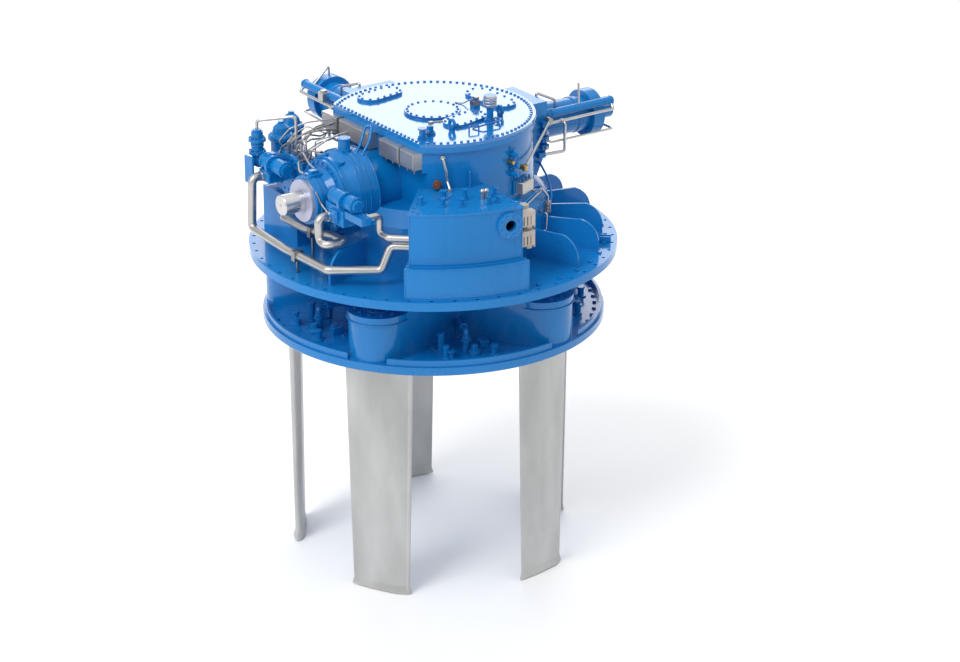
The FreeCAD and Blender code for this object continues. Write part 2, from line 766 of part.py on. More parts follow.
def rotor_tube():
    floor = size("disc_thickness - disc_drop")
    bore = size("neck_bore")
    outer = size("neck_radius")
    tube = Part.makeCylinder(outer, crown_floor - floor, Vector(0, 0, floor))
    tube = tube.cut(Part.makeCylinder(bore, crown_floor - floor, Vector(0, 0, floor)))
    seat = Part.makeCylinder(size("neck_radius"), 60, Vector(0, 0, crown_floor - 60))
    seat = seat.cut(Part.makeCylinder(size("neck_bore") - 40, 60, Vector(0, 0, crown_floor - 60)))
    tube = tube.fuse(seat)
    reach = size("chamber_radius")
    floor_z = size("chamber_floor")
    roof_z = size("chamber_roof")
    for index in range(int(size("blade_count"))):
        window = Part.makeBox(outer, 2 * reach, roof_z - floor_z, Vector(outer / 2, -reach, floor_z))
        window.rotate(Vector(), UP, blade_angle(index))
        tube = tube.cut(window)
    return tube


node(feature("rotor_neck", rotor_tube()), "rotor_neck")

disc_blank = turned("disc_blank", [
    ("0", "-disc_drop"),
    ("disc_radius - 12", "-disc_drop"),
    ("disc_radius", "-disc_drop + 12"),
    ("disc_radius", "disc_thickness - disc_drop"),
    ("disc_lip_radius", "disc_thickness - disc_drop"),
    ("disc_lip_radius", "disc_thickness + disc_lip_height - disc_drop"),
    ("disc_lip_radius - disc_lip_width", "disc_thickness + disc_lip_height - disc_drop"),
    ("disc_lip_radius - disc_lip_width", "disc_thickness - disc_drop"),
    ("0", "disc_thickness - disc_drop"),
])


def disc_cutters():
    cutters = []
    orbit = size("blade_orbit")
    bottom = -size("disc_drop")
    for index in range(int(size("blade_count"))):
        at_axis = polar(orbit, blade_angle(index), bottom - 1)
        cutters.append(Part.makeCylinder(size("blade_bearing"), 400, at_axis))
        cutters.append(Part.makeCylinder(size("palm_radius + seal_gap"), size("palm_depth") + 1, at_axis))
        gap_centre = polar(size("lobe_reach - lobe_foot_radius"), blade_angle(index), size("disc_thickness") + bottom)
        cutters.append(Part.makeCylinder(size("lobe_foot_radius + lip_gap"), 200, gap_centre))
    return Part.makeCompound(cutters)


node(cut("rotor_disc", disc_blank, feature("disc_cutters", disc_cutters())), "rotor_disc")


# Blade housings: five lobes with tapered round noses and flat flared sides.
def lobe_outline(radius, height):
    reach = size("lobe_reach")
    flare = math.radians(size("lobe_flare"))
    centre = reach - radius
    tangent = Vector(centre + radius * math.sin(flare), radius * math.cos(flare), height)
    edge = math.tan(math.radians(36))
    run = (edge * tangent.x - tangent.y) / (math.sin(flare) + edge * math.cos(flare))
    valley = tangent + Vector(-math.cos(flare) * run, math.sin(flare) * run, 0)
    inner = size("neck_radius") * 0.9
    foot = polar(inner, 36, height)
    mirrored = [Vector(point.x, -point.y, height) for point in (foot, valley, tangent)]
    edges = [
        Part.LineSegment(foot, valley).toShape(),
        Part.LineSegment(valley, tangent).toShape(),
        Part.Arc(tangent, Vector(reach, 0, height), mirrored[2]).toShape(),
        Part.LineSegment(mirrored[2], mirrored[1]).toShape(),
        Part.LineSegment(mirrored[1], mirrored[0]).toShape(),
        Part.LineSegment(mirrored[0], foot).toShape(),
    ]
    return Part.Wire(edges)


def lobe_shape():
    floor = size("disc_thickness - disc_drop")
    top = -size("lobe_top_drop")
    lip = size("lobe_lip")
    top_radius = size("lobe_top_radius")
    foot_radius = size("lobe_foot_radius")
    body = Part.makeLoft([lobe_outline(foot_radius, floor), lobe_outline(top_radius, top)], True, True)
    nose_centre = Vector(size("lobe_reach") - top_radius, 0, top - lip)
    collar = Part.makeCone(top_radius + 7, top_radius + 12, lip, nose_centre)
    lobe = body.fuse(collar)
    orbit = size("blade_orbit")
    chamber_floor = size("chamber_floor")
    chamber_roof = size("chamber_roof")
    chamber = size("chamber_radius")
    channel = chamber - 4
    hollows = [
        Part.makeCylinder(size("neck_radius + running_gap"), 2000, Vector(0, 0, -1000)),
        Part.makeCylinder(size("blade_bearing"), 1000, Vector(orbit, 0, -1000)),
        Part.makeCylinder(chamber, chamber_roof - chamber_floor, Vector(orbit, 0, chamber_floor)),
        Part.makeBox(orbit, 2 * channel, chamber_roof - chamber_floor, Vector(0, -channel, chamber_floor)),
        Part.makeCylinder(size("cap_radius") + 2, 40, Vector(orbit, 0, top - size("cap_thickness"))),
    ]
    return lobe.cut(Part.makeCompound(hollows))


lobe = lobe_shape()
cap_seat = size("-lobe_top_drop - cap_thickness")


def round_the_rotor(shape):
    """Copy a shape made at angle zero to each blade's place."""
    copies = []
    for index in range(int(size("blade_count"))):
        one = shape.copy()
        one.rotate(Vector(), UP, blade_angle(index))
        copies.append(one)
    return Part.makeCompound(copies)


node(feature("blade_housings", round_the_rotor(lobe)), "blade_housings")
cap_disc = Part.makeCylinder(size("cap_radius"), size("cap_thickness"), Vector(size("blade_orbit"), 0, cap_seat))
node(feature("bearing_caps", round_the_rotor(cap_disc)), "bearing_caps")
cap_bolt_ring = Part.makeCompound([
    hexagon_head(size("cap_bolt_size"), 0.8 * size("cap_bolt_size"),
                 Vector(size("blade_orbit"), 0, cap_seat + size("cap_thickness")) + polar(size("cap_bolt_circle"), 30 * k))
    for k in range(12)
])
node(feature("cap_bolts", round_the_rotor(cap_bolt_ring)), "cap_bolts")


def bearing_pair():
    outer = size("blade_bearing")
    orbit = size("blade_orbit")
    lower = (size("blade_shaft + running_gap"), size("palm_depth - disc_drop") + 8, size("chamber_floor") - 20)
    upper = (size("blade_neck + running_gap"), size("chamber_roof") + 20, cap_seat - 4)
    rings = []
    for inner, floor, top in (lower, upper):
        ring = Part.makeCylinder(outer, top - floor, Vector(orbit, 0, floor))
        rings.append(ring.cut(Part.makeCylinder(inner, top - floor, Vector(orbit, 0, floor))))
    return Part.makeCompound(rings)


node(feature("blade_bearings", round_the_rotor(bearing_pair())), "blade_bearings")


# Bay fittings: the small pipe bosses on the disc between the lobes.
def bay_fitting():
    floor = size("disc_thickness - disc_drop")
    parts = []
    # radius and angle of the place, boss height, boss radius
    for radius, angle, height, thick in ((1330, 36, 110, 34), (1480, 29, 60, 26), (1250, 43, 60, 26)):
        parts.append(Part.makeCylinder(thick, height, polar(radius, angle, floor)))
        parts.append(Part.makeCylinder(thick * 1.5, 22, polar(radius, angle, floor + height)))
    return Part.makeCompound(parts)


node(feature("bay_fittings", round_the_rotor(bay_fitting())), "bay_fittings")

# Main bearing: an inner race on the neck, a race in the drum and the rollers
# between them in their cage.
node(turned("bearing_inner", ring_profile(
    "neck_radius", "neck_radius + bearing_race - 3", "bearing_base", "bearing_base + bearing_height")),
    "bearing_inner_race")
node(turned("bearing_outer", ring_profile(
    "drum_radius - drum_wall - bearing_race + 3", "drum_radius - drum_wall", "bearing_base",
    "bearing_base + bearing_height")), "bearing_outer_race")


def roller_cage():
    inner = size("neck_radius + bearing_race - 3 + running_gap")
    outer = size("drum_radius - drum_wall - bearing_race + 3 - running_gap")
    floor = size("bearing_base")
    height = size("bearing_height")
    middle = (inner + outer) / 2
    cage = Part.makeCylinder(middle + 8, height, Vector(0, 0, floor))
    cage = cage.cut(Part.makeCylinder(middle - 8, height, Vector(0, 0, floor)))
    rollers = []
    for k in range(24):
        rollers.append(Part.makeCylinder((outer - inner) / 2, height - 30, polar(middle, 15 * k, floor + 15)))
    return cage.multiFuse(rollers)


node(feature("roller_cage", roller_cage()), "roller_cage")


# Blades: a tapered symmetric foil with a flared end lip, one piece with its
# palm and shaft. The lever is shrunk on the shaft inside the lobe.
def foil(chord, thickness, height):
    """A round-nosed section of arcs with its nose at +Y, centred on its half chord."""
    half = thickness / 2
    # share of the chord from the nose and share of the half thickness
    shares = [(1.0, 0.07), (0.65, 0.72), (0.32, 1.0), (0.14, 0.86), (0.05, 0.5)]
    right = [Vector(width * half, 0.5 * chord - along * chord, height) for along, width in shares]
    left = [Vector(-point.x, point.y, height) for point in right]
    tip = Vector(0, 0.5 * chord, height)
    edges = [
        Part.Arc(right[0], right[1], right[2]).toShape(),
        Part.Arc(right[2], right[3], right[4]).toShape(),
        Part.Arc(right[4], tip, left[4]).toShape(),
        Part.Arc(left[4], left[3], left[2]).toShape(),
        Part.Arc(left[2], left[1], left[0]).toShape(),
        Part.LineSegment(left[0], right[0]).toShape(),
    ]
    return Part.Wire(edges)


def blade_shape():
    top = -size("disc_drop + blade_clearance")
    tip = -size("blade_tip")
    lip = size("lip_thickness")
    flare_top = tip + lip + size("lip_flare")
    root_wire = foil(size("root_chord"), size("root_thickness"), top)
    tip_wire = foil(size("tip_chord"), size("tip_thickness"), flare_top)
    lip_thickness = size("tip_thickness") + size("lip_chord - tip_chord")
    lip_top = foil(size("lip_chord"), lip_thickness, tip + lip)
    lip_foot = foil(size("lip_chord"), lip_thickness, tip)
    blade = Part.makeLoft([root_wire, tip_wire], True, True)
    flare = Part.makeLoft([tip_wire, lip_top], True, True)
    plate = Part.makeLoft([lip_top, lip_foot], True, True)
    palm = Part.makeCylinder(size("palm_radius"), size("palm_depth"), Vector(0, 0, top))
    shaft_top = cap_seat - 8
    bar = Part.makeCylinder(size("blade_shaft"), size("chamber_floor") - top, Vector(0, 0, top))
    neck = Part.makeCylinder(size("blade_neck"), shaft_top - top, Vector(0, 0, top))
    return blade.multiFuse([flare, plate, palm, bar, neck])


def lever_shape():
    floor = size("lever_height")
    thickness = size("lever_thickness")
    arm = size("lever_arm")
    shaft = size("blade_neck")
    hub = Part.makeCylinder(shaft + 40, thickness, Vector(0, 0, floor))
    eye = Part.makeCylinder(50, thickness, Vector(0, arm, floor))
    pin_length = size("link_thickness") + 12
    pin = Part.makeCylinder(size("link_pin"), pin_length, Vector(0, arm, floor - pin_length))
    lever = hub.multiFuse([eye, pin])
    return lever.cut(Part.makeCylinder(shaft, thickness, Vector(0, 0, floor)))


def link_shape():
    floor = size("lever_height - link_thickness") - 6
    thickness = size("link_thickness")
    length = size("link_length")
    eye = size("link_eye")
    pin = size("link_pin + running_gap")
    bar = Part.makeBox(length, eye, thickness, Vector(-length, -eye / 2, floor))
    outer = Part.makeCylinder(eye, thickness, Vector(0, 0, floor))
    inner = Part.makeCylinder(eye, thickness, Vector(-length, 0, floor))
    rod = bar.multiFuse([outer, inner])
    holes = [Part.makeCylinder(pin, thickness, Vector(x, 0, floor)) for x in (0, -length)]
    return rod.cut(Part.makeCompound(holes))


blade = blade_shape()
lever = lever_shape()
link = link_shape()
for index in range(int(size("blade_count"))):
    angle = blade_angle(index)
    facing = FreeCAD.Rotation(UP, angle)
    axis_place = polar(size("blade_orbit"), angle)
    number = index + 1
    node(feature("blade_%d" % number, blade, axis_place, facing), "blade_%d" % number)
    node(feature("blade_lever_%d" % number, lever, axis_place, facing), "blade_lever_%d" % number)
    link_place = axis_place + facing.multVec(Vector(0, size("lever_arm"), 0))
    node(feature("link_rod_%d" % number, link, link_place, facing), "link_rod_%d" % number)

# Control column: a rod that rocks in a gimbal ring, with the steering disc on
# its lower journal and a ball for the servomotors on top.
node(cut("pivot_carrier", turned("carrier_cone", [
    ("gimbal_outer + 20", "pivot_height - 70"),
    ("gimbal_outer + 80", "pivot_height - 70"),
    ("gimbal_outer + 80", "pivot_height + 70"),
    ("neck_bore - 140", "drum_foot"),
    ("neck_bore - 140", "servo_height - carrier_drop"),
    ("drum_radius - drum_wall - running_gap", "servo_height - carrier_drop"),
    ("drum_radius - drum_wall - running_gap", "servo_height - carrier_drop + deck_plate"),
    ("neck_bore - 180", "servo_height - carrier_drop + deck_plate"),
    ("neck_bore - 180", "drum_foot"),
    ("gimbal_outer + 20", "pivot_height + 70"),
]), box("carrier_waste", "drum_radius", "2 * drum_radius", "drum_radius", (
    "-waist_flat + drum_wall - drum_radius", "-drum_radius", "0")),
    cylinder("carrier_sockets", "trunnion + running_gap", "2 * gimbal_outer + 104", (
        "0", "-gimbal_outer - 52", "pivot_height"), TURN_TO_Y)), "pivot_carrier")

gimbal_blank = turned("gimbal_blank", ring_profile(
    "gimbal_inner", "gimbal_outer", "pivot_height - gimbal_height / 2", "pivot_height + gimbal_height / 2"))
gimbal_bores = cylinder("gimbal_bores", "trunnion + running_gap", "2 * gimbal_outer + 2", (
    "-gimbal_outer - 1", "0", "pivot_height"), TURN_TO_X)
gimbal_pin_left = cylinder("gimbal_pin_left", "trunnion", "50", ("0", "gimbal_outer - 2", "pivot_height"), TURN_TO_Y)
gimbal_pin_right = cylinder("gimbal_pin_right", "trunnion", "50", ("0", "-gimbal_outer - 48", "pivot_height"),
                            TURN_TO_Y)
node(fuse("gimbal_ring", cut("gimbal_bored", gimbal_blank, gimbal_bores), gimbal_pin_left, gimbal_pin_right),
     "gimbal_ring")

column_bar = turned("column_bar", [
    ("0", "steering_height - 20"),
    ("column_radius + 20", "steering_height - 20"),
    ("column_radius + 20", "steering_height - running_gap"),
    ("column_radius - 2", "steering_height - running_gap"),
    ("column_radius - 2", "steering_height + steering_thickness + running_gap"),
    ("column_radius + 20", "steering_height + steering_thickness + running_gap"),
    ("column_radius + 20", "steering_height + steering_thickness + 20"),
    ("column_radius", "steering_height + steering_thickness + 60"),
    ("column_radius", "servo_height - column_ball + 10"),
    ("0", "servo_height - column_ball + 10"),
])
column_ball = doc.addObject("Part::Sphere", "column_ball_end")
column_ball.setExpression("Radius", bound("column_ball"))
place(column_ball, ("0", "0", "servo_height"))
column_pins = cylinder("column_pins", "trunnion", "2 * gimbal_outer - 10", (
    "-gimbal_outer + 5", "0", "pivot_height"), TURN_TO_X)
node(fuse("control_column", column_bar, column_ball, column_pins), "control_column")
node(turned("steering_disc", [
    ("column_radius - 2 + running_gap", "steering_height"),
    ("steering_radius - 40", "steering_height"),
    ("steering_radius", "steering_height + 15"),
    ("steering_radius", "steering_height + steering_thickness"),
    ("column_radius - 2 + running_gap", "steering_height + steering_thickness"),
]), "steering_disc")


# Servomotors: a flanged cylinder, its collar and tail, and the piston with a
# push pad on the ball. The X and the Y pad pass above and below each other.
def servo(letter, turn, pad_floor):
    start = "console_face + running_gap"
    face = "console_face"
    end = face + " + servo_length"
    height = ("0", "0", "servo_height")
    cylinder_body = turned("servo_cylinder_" + letter, [
        (start, "piston_rod + running_gap"),
        (start, "servo_flange"),
        (face + " + servo_flange_thickness", "servo_flange"),
        (face + " + servo_flange_thickness", "servo_radius"),
        (end, "servo_radius"),
        (end, "servo_bore"),
        (face + " + 100", "servo_bore"),
        (face + " + 100", "piston_rod + running_gap"),
    ], "X", height, turn)
    tail_body = turned("servo_tail_" + letter, [
        (end, "piston_rod - 10 + running_gap"),
        (end, "servo_collar"),
        (end + " + servo_collar_length", "servo_collar"),
        (end + " + servo_collar_length", "servo_tail_radius"),
        (end + " + servo_collar_length + servo_tail_length", "servo_tail_radius"),
        (end + " + servo_collar_length + servo_tail_length", "0"),
        (end + " + servo_collar_length + servo_tail_length - 40", "0"),
        (end + " + servo_collar_length + servo_tail_length - 40", "piston_rod - 10 + running_gap"),
    ], "X", height, turn)
    middle = face + " + 100 + (servo_length - 100) / 2"
    rod = turned("piston_rod_" + letter, [
        ("column_ball + tongue_reach", "0"),
        ("column_ball + tongue_reach", "piston_rod"),
        (middle + " - piston_length / 2", "piston_rod"),
        (middle + " - piston_length / 2", "servo_bore - running_gap"),
        (middle + " + piston_length / 2", "servo_bore - running_gap"),
        (middle + " + piston_length / 2", "piston_rod - 10"),
        (end + " + servo_collar_length + 20", "piston_rod - 10"),
        (end + " + servo_collar_length + 20", "0"),
    ], "X", height, turn)
    push_face = size("column_ball + push_gap")
    tongue_length = size("column_ball + tongue_reach") + 3 - push_face
    thickness = size("pad_thickness")
    width = size("pad_width")
    tongue = Part.makeBox(tongue_length, 80, thickness, Vector(push_face, -40, pad_floor))
    pad = Part.makeBox(40, width, thickness, Vector(push_face, -width / 2, pad_floor))
    head = tongue.fuse(pad)
    tongue_feature = feature("servo_head_" + letter, head, Vector(0, 0, size("servo_height")), turn)
    node(fuse("servo_piston_" + letter, rod, tongue_feature), "servo_piston_" + letter)
    return cylinder_body, tail_body


x_cylinder, x_tail = servo("x", FreeCAD.Rotation(), size("pad_offset"))
y_cylinder, y_tail = servo("y", FreeCAD.Rotation(UP, 90), -size("pad_offset + pad_thickness"))
node(gather("servo_cylinders", x_cylinder, y_cylinder), "servo_cylinders")
node(gather("servo_tails", x_tail, y_tail), "servo_tails")


# Servo pipes: the blue guide tube and the bright oil pipes beside each cylinder.
def servo_lines(side):
    face = size("console_face")
    end = face + size("servo_length + servo_collar_length")
    height = size("servo_height")
    beside = side * (size("servo_radius") + 34)
    collar = face + size("servo_length")
    flange = face + size("servo_flange_thickness")
    parts = [
        Part.makeCylinder(30, collar - flange, Vector(flange, beside, height - 10), ALONG_X),
        Part.makeCylinder(30, 110, Vector(end, beside, height - 10), ALONG_X),
    ]
    thin = size("thin_pipe")
    low = side * (size("servo_radius") + 30)
    parts.append(bent_bar([
        Vector(face, low, height - 190), Vector(face + 250, low, height - 190), Vector(face + 250, low, height - 60),
    ], thin, 40))
    parts.append(bent_bar([
        Vector(flange + 60, 0, height - size("servo_radius + running_gap")), Vector(flange + 60, 0, height - 262),
        Vector(end + 130, 0, height - 262), Vector(end + 130, 0, height - size("servo_tail_radius + running_gap")),
    ], thin, 40))
    parts.append(bent_bar([
        Vector(face, 60 * side, height + 260), Vector(face + 110, 60 * side, height + 260),
        Vector(face + 110, 60 * side, height + size("servo_radius + running_gap")),
    ], thin, 30))
    parts.append(Part.makeCylinder(20, 190, Vector(end - 65, 0, height + size("servo_collar + running_gap"))))
    return Part.makeCompound(parts)


lines_x = servo_lines(-1)
lines_y = servo_lines(1)
lines_y.rotate(Vector(), UP, 90)
node(feature("servo_pipes", Part.makeCompound([lines_x, lines_y])), "servo_pipes")

# Terminal boxes along the flat side of the upper housing.
BOX_SPANS = [(600, 877), (21, 563), (-509, -159), (-767, -526)]


def terminal_boxes():
    depth = size("box_depth")
    back = -size("head_flat") - size("running_gap")
    floor = size("box_floor")
    height = size("head_top - running_gap") - floor
    shapes = []
    for low, high in BOX_SPANS:
        shapes.append(Part.makeBox(depth, high - low, height, Vector(back - depth, low, floor)))
    return Part.makeCompound(shapes)


node(feature("terminal_boxes", terminal_boxes()), "terminal_boxes")


# Filters: two upright canisters with domed caps.
def canister(x, y, foot, top, radius):
    collar = radius + 18
    outline = Part.makePolygon([
        Vector(0, 0, foot),
        Vector(radius, 0, foot),
        Vector(radius, 0, top - 170),
        Vector(collar, 0, top - 170),
        Vector(collar, 0, top - 120),
        Vector(0.88 * radius, 0, top - 100),
        Vector(0.72 * radius, 0, top - 40),
        Vector(0.3 * radius, 0, top),
        Vector(0, 0, top),
        Vector(0, 0, foot),
    ])
    body = Part.Face(outline).revolve(Vector(), UP, 360)
    body.translate(Vector(x, y, 0))
    return body


FILTER_PLACES = [(-1104, 1065), (-855, 1275)]
node(feature("oil_filters", Part.makeCompound([
    canister(x, y, size("filter_foot"), size("filter_top"), size("filter_radius")) for x, y in FILTER_PLACES
])), "oil_filters")


# Equipment frame: the welded support on the flange and the auxiliary gearbox
# casing on it, with a shelf and a leg for the filters.
def block(low, high):
    """A box between two opposite corners."""
    return Part.makeBox(high[0] - low[0], high[1] - low[1], high[2] - low[2], Vector(*low))


frame_foot = size("flange_thickness")
frame_top = size("frame_top")
casing_top = size("casing_top")
casing_face = -size("casing_face")
shelf_top = size("filter_foot")
SHELF_THICKNESS = 60
frame_parts = [
    block((casing_face - 40, 500, frame_foot), (-1060, 1130, frame_top)),
    block((casing_face, 440, frame_top - 15), (-1060, 930, casing_top)),
    block((casing_face, 900, shelf_top - SHELF_THICKNESS), (-720, 1400, shelf_top)),
    block((-900, 1240, frame_foot), (-820, 1320, shelf_top - 10)),
]
frame_shape = frame_parts[0].multiFuse(frame_parts[1:])
frame_shape = frame_shape.cut(Part.makeCylinder(size("base_radius + running_gap"), 2000))
node(feature("equipment_frame", frame_shape), "equipment_frame")

# Gearbox cover: the stepped round flange on the casing's front.
COVER_CENTRE = (605, 790)
COVER_STEPS = [(225, 40), (150, 45)]
gearbox_cover = Part.makeCylinder(COVER_STEPS[0][0], COVER_STEPS[0][1], Vector(casing_face, *COVER_CENTRE), -ALONG_X)
cover_front = casing_face - COVER_STEPS[0][1]
gearbox_cover = gearbox_cover.fuse(Part.makeCylinder(
    COVER_STEPS[1][0], COVER_STEPS[1][1] + 10, Vector(cover_front + 10, *COVER_CENTRE), -ALONG_X))
node(feature("gearbox_cover", gearbox_cover), "gearbox_cover")
cover_front -= COVER_STEPS[1][1]

# Oil pumps: the pump on the gearbox cover and the one bolted to the bearing
# nose, each a round body across the shaft with a valve block under it.
pump_radius = size("pump_radius")
nose_face = size("-barrel_end - 45")
PUMP_HEIGHT = 925
port_pump = Part.makeCylinder(pump_radius, 400, Vector(-1420, 455, PUMP_HEIGHT), ALONG_Y)
port_pump = port_pump.multiFuse([
    Part.makeCylinder(pump_radius + 22, 36, Vector(-1440, 640, PUMP_HEIGHT), ALONG_Y),
    block((-1500, 650, 745), (cover_front, 840, PUMP_HEIGHT - pump_radius + 12)),
])
starboard_pump = Part.makeCylinder(pump_radius, 400, Vector(-1375, -750, 900), ALONG_Y)
starboard_pump = starboard_pump.multiFuse([
    Part.makeCylinder(pump_radius + 18, 36, Vector(-1395, -600, 900), ALONG_Y),
    block((-1440, -600, 650), (-1305, -285, 835)),
    block((-1320, -345, 690), (nose_face, -292, 810)),
    block((-1430, -911, 750), (-1320, -590, 824)),
])
node(feature("oil_pumps", Part.makeCompound([port_pump, starboard_pump])), "oil_pumps")

# Relief valve: an upright body with two flanges on a shelf of the casing.
VALVE_PLACE = (-1430, 985)
valve_shape = block((-1490, 880, 850), (casing_face, 1000, 892))
for radius, floor, top in ((60, 885, 1190), (88, 960, 990), (88, 1090, 1120)):
    valve_shape = valve_shape.fuse(Part.makeCylinder(radius, top - floor, Vector(*VALVE_PLACE, floor)))
node(feature("relief_valve", valve_shape), "relief_valve")


# Oil pipes: the bright suction, loop and return pipes with their end flanges.
def pipe_run(points, radius, bend):
    return bent_bar([Vector(*point) for point in points], radius, bend)


PIPE_BEND = 60
PIPE_FLANGE = 54
pipe_radius = size("pipe_radius")
gap = size("running_gap")
wall_angle = size("tank_start_angle") + 1.3
off_wall = -polar(1, wall_angle + 90)


def wall_end(radius, height):
    """The place on the tank's side wall where a pipe ends."""
    return polar(radius, wall_angle, height) + off_wall * gap


suction_end = wall_end(1440, 500)
suction_corner = suction_end + off_wall * 210
suction = pipe_run([
    (-1500 - gap, 795, 790), (-1612, 795, 790), (-1619, 812, 264), (-1662, 101, 264), (-1634, -613, 264),
    (-1211, -907, 264), tuple(suction_corner), tuple(suction_end),
], pipe_radius, PIPE_BEND)
loop = pipe_run([
    (-1440 - gap, -345, 700), (-1560, -345, 700), (-1552, -345, 460), (-1560, -480, 462), (-1368, -503, 462),
    (-1345, -277, 450), (-1395, 159, 400), (-1395, 600, 400), (casing_face - 40 - gap, 600, 400),
], pipe_radius, PIPE_BEND)
return_end = wall_end(1492, 600)
return_corner = return_end + off_wall * 230
return_pipe = pipe_run([
    (-1320 + gap, -815, 787), (-1165, -815, 787), (-1165, -815, 600), tuple(return_corner), tuple(return_end),
], 34, PIPE_BEND - 10)
collars = [
    Part.makeCylinder(PIPE_FLANGE, 20, suction_end, off_wall),
    Part.makeCylinder(PIPE_FLANGE, 20, return_end, off_wall),
]
oil_pipes = [suction.fuse(collars[0]), loop, return_pipe.fuse(collars[1])]
node(feature("oil_pipes", Part.makeCompound(oil_pipes)), "oil_pipes")

# Hydraulic lines: the thin bright lines from the relief valve to the casing and
# from the terminal end of the casing over to the drum.
thin = size("thin_pipe")
hydraulic = [
    pipe_run([(-1430, 985, 1190 + gap), (-1430, 985, 1300), (-1150, 700, 1365), (-1150, 700, casing_top + gap)],
             thin, 40),
    pipe_run([(-1180, 560, casing_top + gap), (-1180, 560, 1160), (-1180, 480, 1160), (-1180, 480, casing_top + gap)],
             thin, 36),
]
node(feature("hydraulic_lines", Part.makeCompound(hydraulic)), "hydraulic_lines")

# Cover fittings: the breather, switch, nozzle, lever valve, lifting eyes and
# handle on the top cover.
BREATHER_PLACE = (297, -564)
breather = Part.makeCylinder(34, 170, Vector(*BREATHER_PLACE, cover_top)).multiFuse([
    Part.makeCylinder(58, 16, Vector(*BREATHER_PLACE, cover_top)),
    Part.makeCylinder(62, 110, Vector(*BREATHER_PLACE, cover_top + 156)),
])
cover_fittings = [breather, block((375, -182, cover_top), (447, -110, cover_top + 84))]
for x, y, radius, height in ((-552, -640, 30, 96), (-406, -557, 34, 84)):
    post = Part.makeCylinder(radius, height, Vector(x, y, cover_top))
    cover_fittings.append(post.fuse(Part.makeCylinder(radius * 1.6, 18, Vector(x, y, cover_top))))
for x, y in ((-160, -575), (468, -493)):
    eye = Part.makeCylinder(52, 24, Vector(x - 12, y, cover_top + 62), ALONG_X)
    eye = eye.cut(Part.makeCylinder(28, 24, Vector(x - 12, y, cover_top + 62), ALONG_X))
    cover_fittings.append(eye.fuse(Part.makeCylinder(30, 22, Vector(x, y, cover_top))))
node(feature("cover_fittings", Part.makeCompound(cover_fittings)), "cover_fittings")

# Cable connectors: the angled hoods on the tank's other side wall.
hood_angle = size("tank_end_angle") - 1.3
HOOD_WIDTH = 74
HOOD_DEPTH = 165
HOOD_HEIGHT = 150
hoods = []
for radius, height in ((1610, 500), (1490, 520), (1610, 700), (1490, 720)):
    hood = block((radius, gap, height), (radius + HOOD_WIDTH, HOOD_DEPTH, height + HOOD_HEIGHT))
    hood.rotate(Vector(), UP, hood_angle)
    hoods.append(hood)
node(feature("cable_connectors", Part.makeCompound(hoods)), "cable_connectors")

problems = []
for item in doc.Objects:
    if "Invalid" in item.State or "Error" in item.State:
        problems.append(item.Name)
doc.recompute()
for item in doc.Objects:
    if "Invalid" in item.State or "Error" in item.State:
        problems.append(item.Name)
for item in nodes:
    if item.Shape.isNull() or not item.Shape.isValid():
        problems.append(item.Label)
if problems:
    raise RuntimeError("failed objects: " + ", ".join(sorted(set(problems))))

os.makedirs("parts", exist_ok=True)
for item in nodes:
    item.Shape.exportStep("parts/" + item.Label + ".step")
print(len(nodes), "sub-parts written")
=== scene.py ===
import bmesh
import bpy
import math
from mathutils import Matrix, Vector


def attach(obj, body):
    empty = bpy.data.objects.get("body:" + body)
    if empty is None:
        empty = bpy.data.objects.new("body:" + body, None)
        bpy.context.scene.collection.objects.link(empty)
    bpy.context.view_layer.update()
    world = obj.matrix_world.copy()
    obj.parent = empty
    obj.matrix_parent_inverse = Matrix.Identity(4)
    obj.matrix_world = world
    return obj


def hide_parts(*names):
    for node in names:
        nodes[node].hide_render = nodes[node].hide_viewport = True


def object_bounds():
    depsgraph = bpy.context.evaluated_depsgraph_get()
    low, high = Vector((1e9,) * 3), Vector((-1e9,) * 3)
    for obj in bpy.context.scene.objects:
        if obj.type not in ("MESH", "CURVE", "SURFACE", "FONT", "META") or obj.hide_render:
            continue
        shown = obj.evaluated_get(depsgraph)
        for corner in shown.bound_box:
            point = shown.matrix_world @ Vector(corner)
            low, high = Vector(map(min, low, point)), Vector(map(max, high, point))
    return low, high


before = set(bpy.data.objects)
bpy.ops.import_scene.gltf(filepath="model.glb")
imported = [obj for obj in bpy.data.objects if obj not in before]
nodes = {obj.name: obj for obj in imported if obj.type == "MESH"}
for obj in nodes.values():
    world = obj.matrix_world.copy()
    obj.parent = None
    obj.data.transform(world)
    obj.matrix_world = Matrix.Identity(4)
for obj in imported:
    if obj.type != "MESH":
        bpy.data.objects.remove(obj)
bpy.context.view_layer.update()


# The camera stands where the photograph's did: a long lens, a little above the
# unit, off the corner between the input shaft and the oil tank.
IMAGE_WIDTH = 960
FOCAL_PIXELS = 3024.73
CAMERA_PLACE = Vector((-15.9169, -23.5497, 10.7190))
CAMERA_AIM = Vector((0.38446, -0.26921, -0.9529))
camera_data = bpy.data.cameras.new("camera")
camera_data.sensor_width = 36.0
camera_data.lens = FOCAL_PIXELS * camera_data.sensor_width / IMAGE_WIDTH
camera_data.clip_end = 200.0
camera = bpy.data.objects.new("camera", camera_data)
bpy.context.scene.collection.objects.link(camera)
camera.location = CAMERA_PLACE
camera.rotation_euler = (CAMERA_AIM - CAMERA_PLACE).to_track_quat("-Z", "Y").to_euler()
bpy.context.scene.camera = camera


# The studio: a pale floor under the blade tips and a pale surround, which metal
# and paint mirror. The lamps are large and soft.
FLOOR_GAP = 0.012
FLOOR_HALF_SIDE = 120.0
LAMP_AIM = Vector((0.0, 0.0, 0.4))
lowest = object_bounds()[0][2]


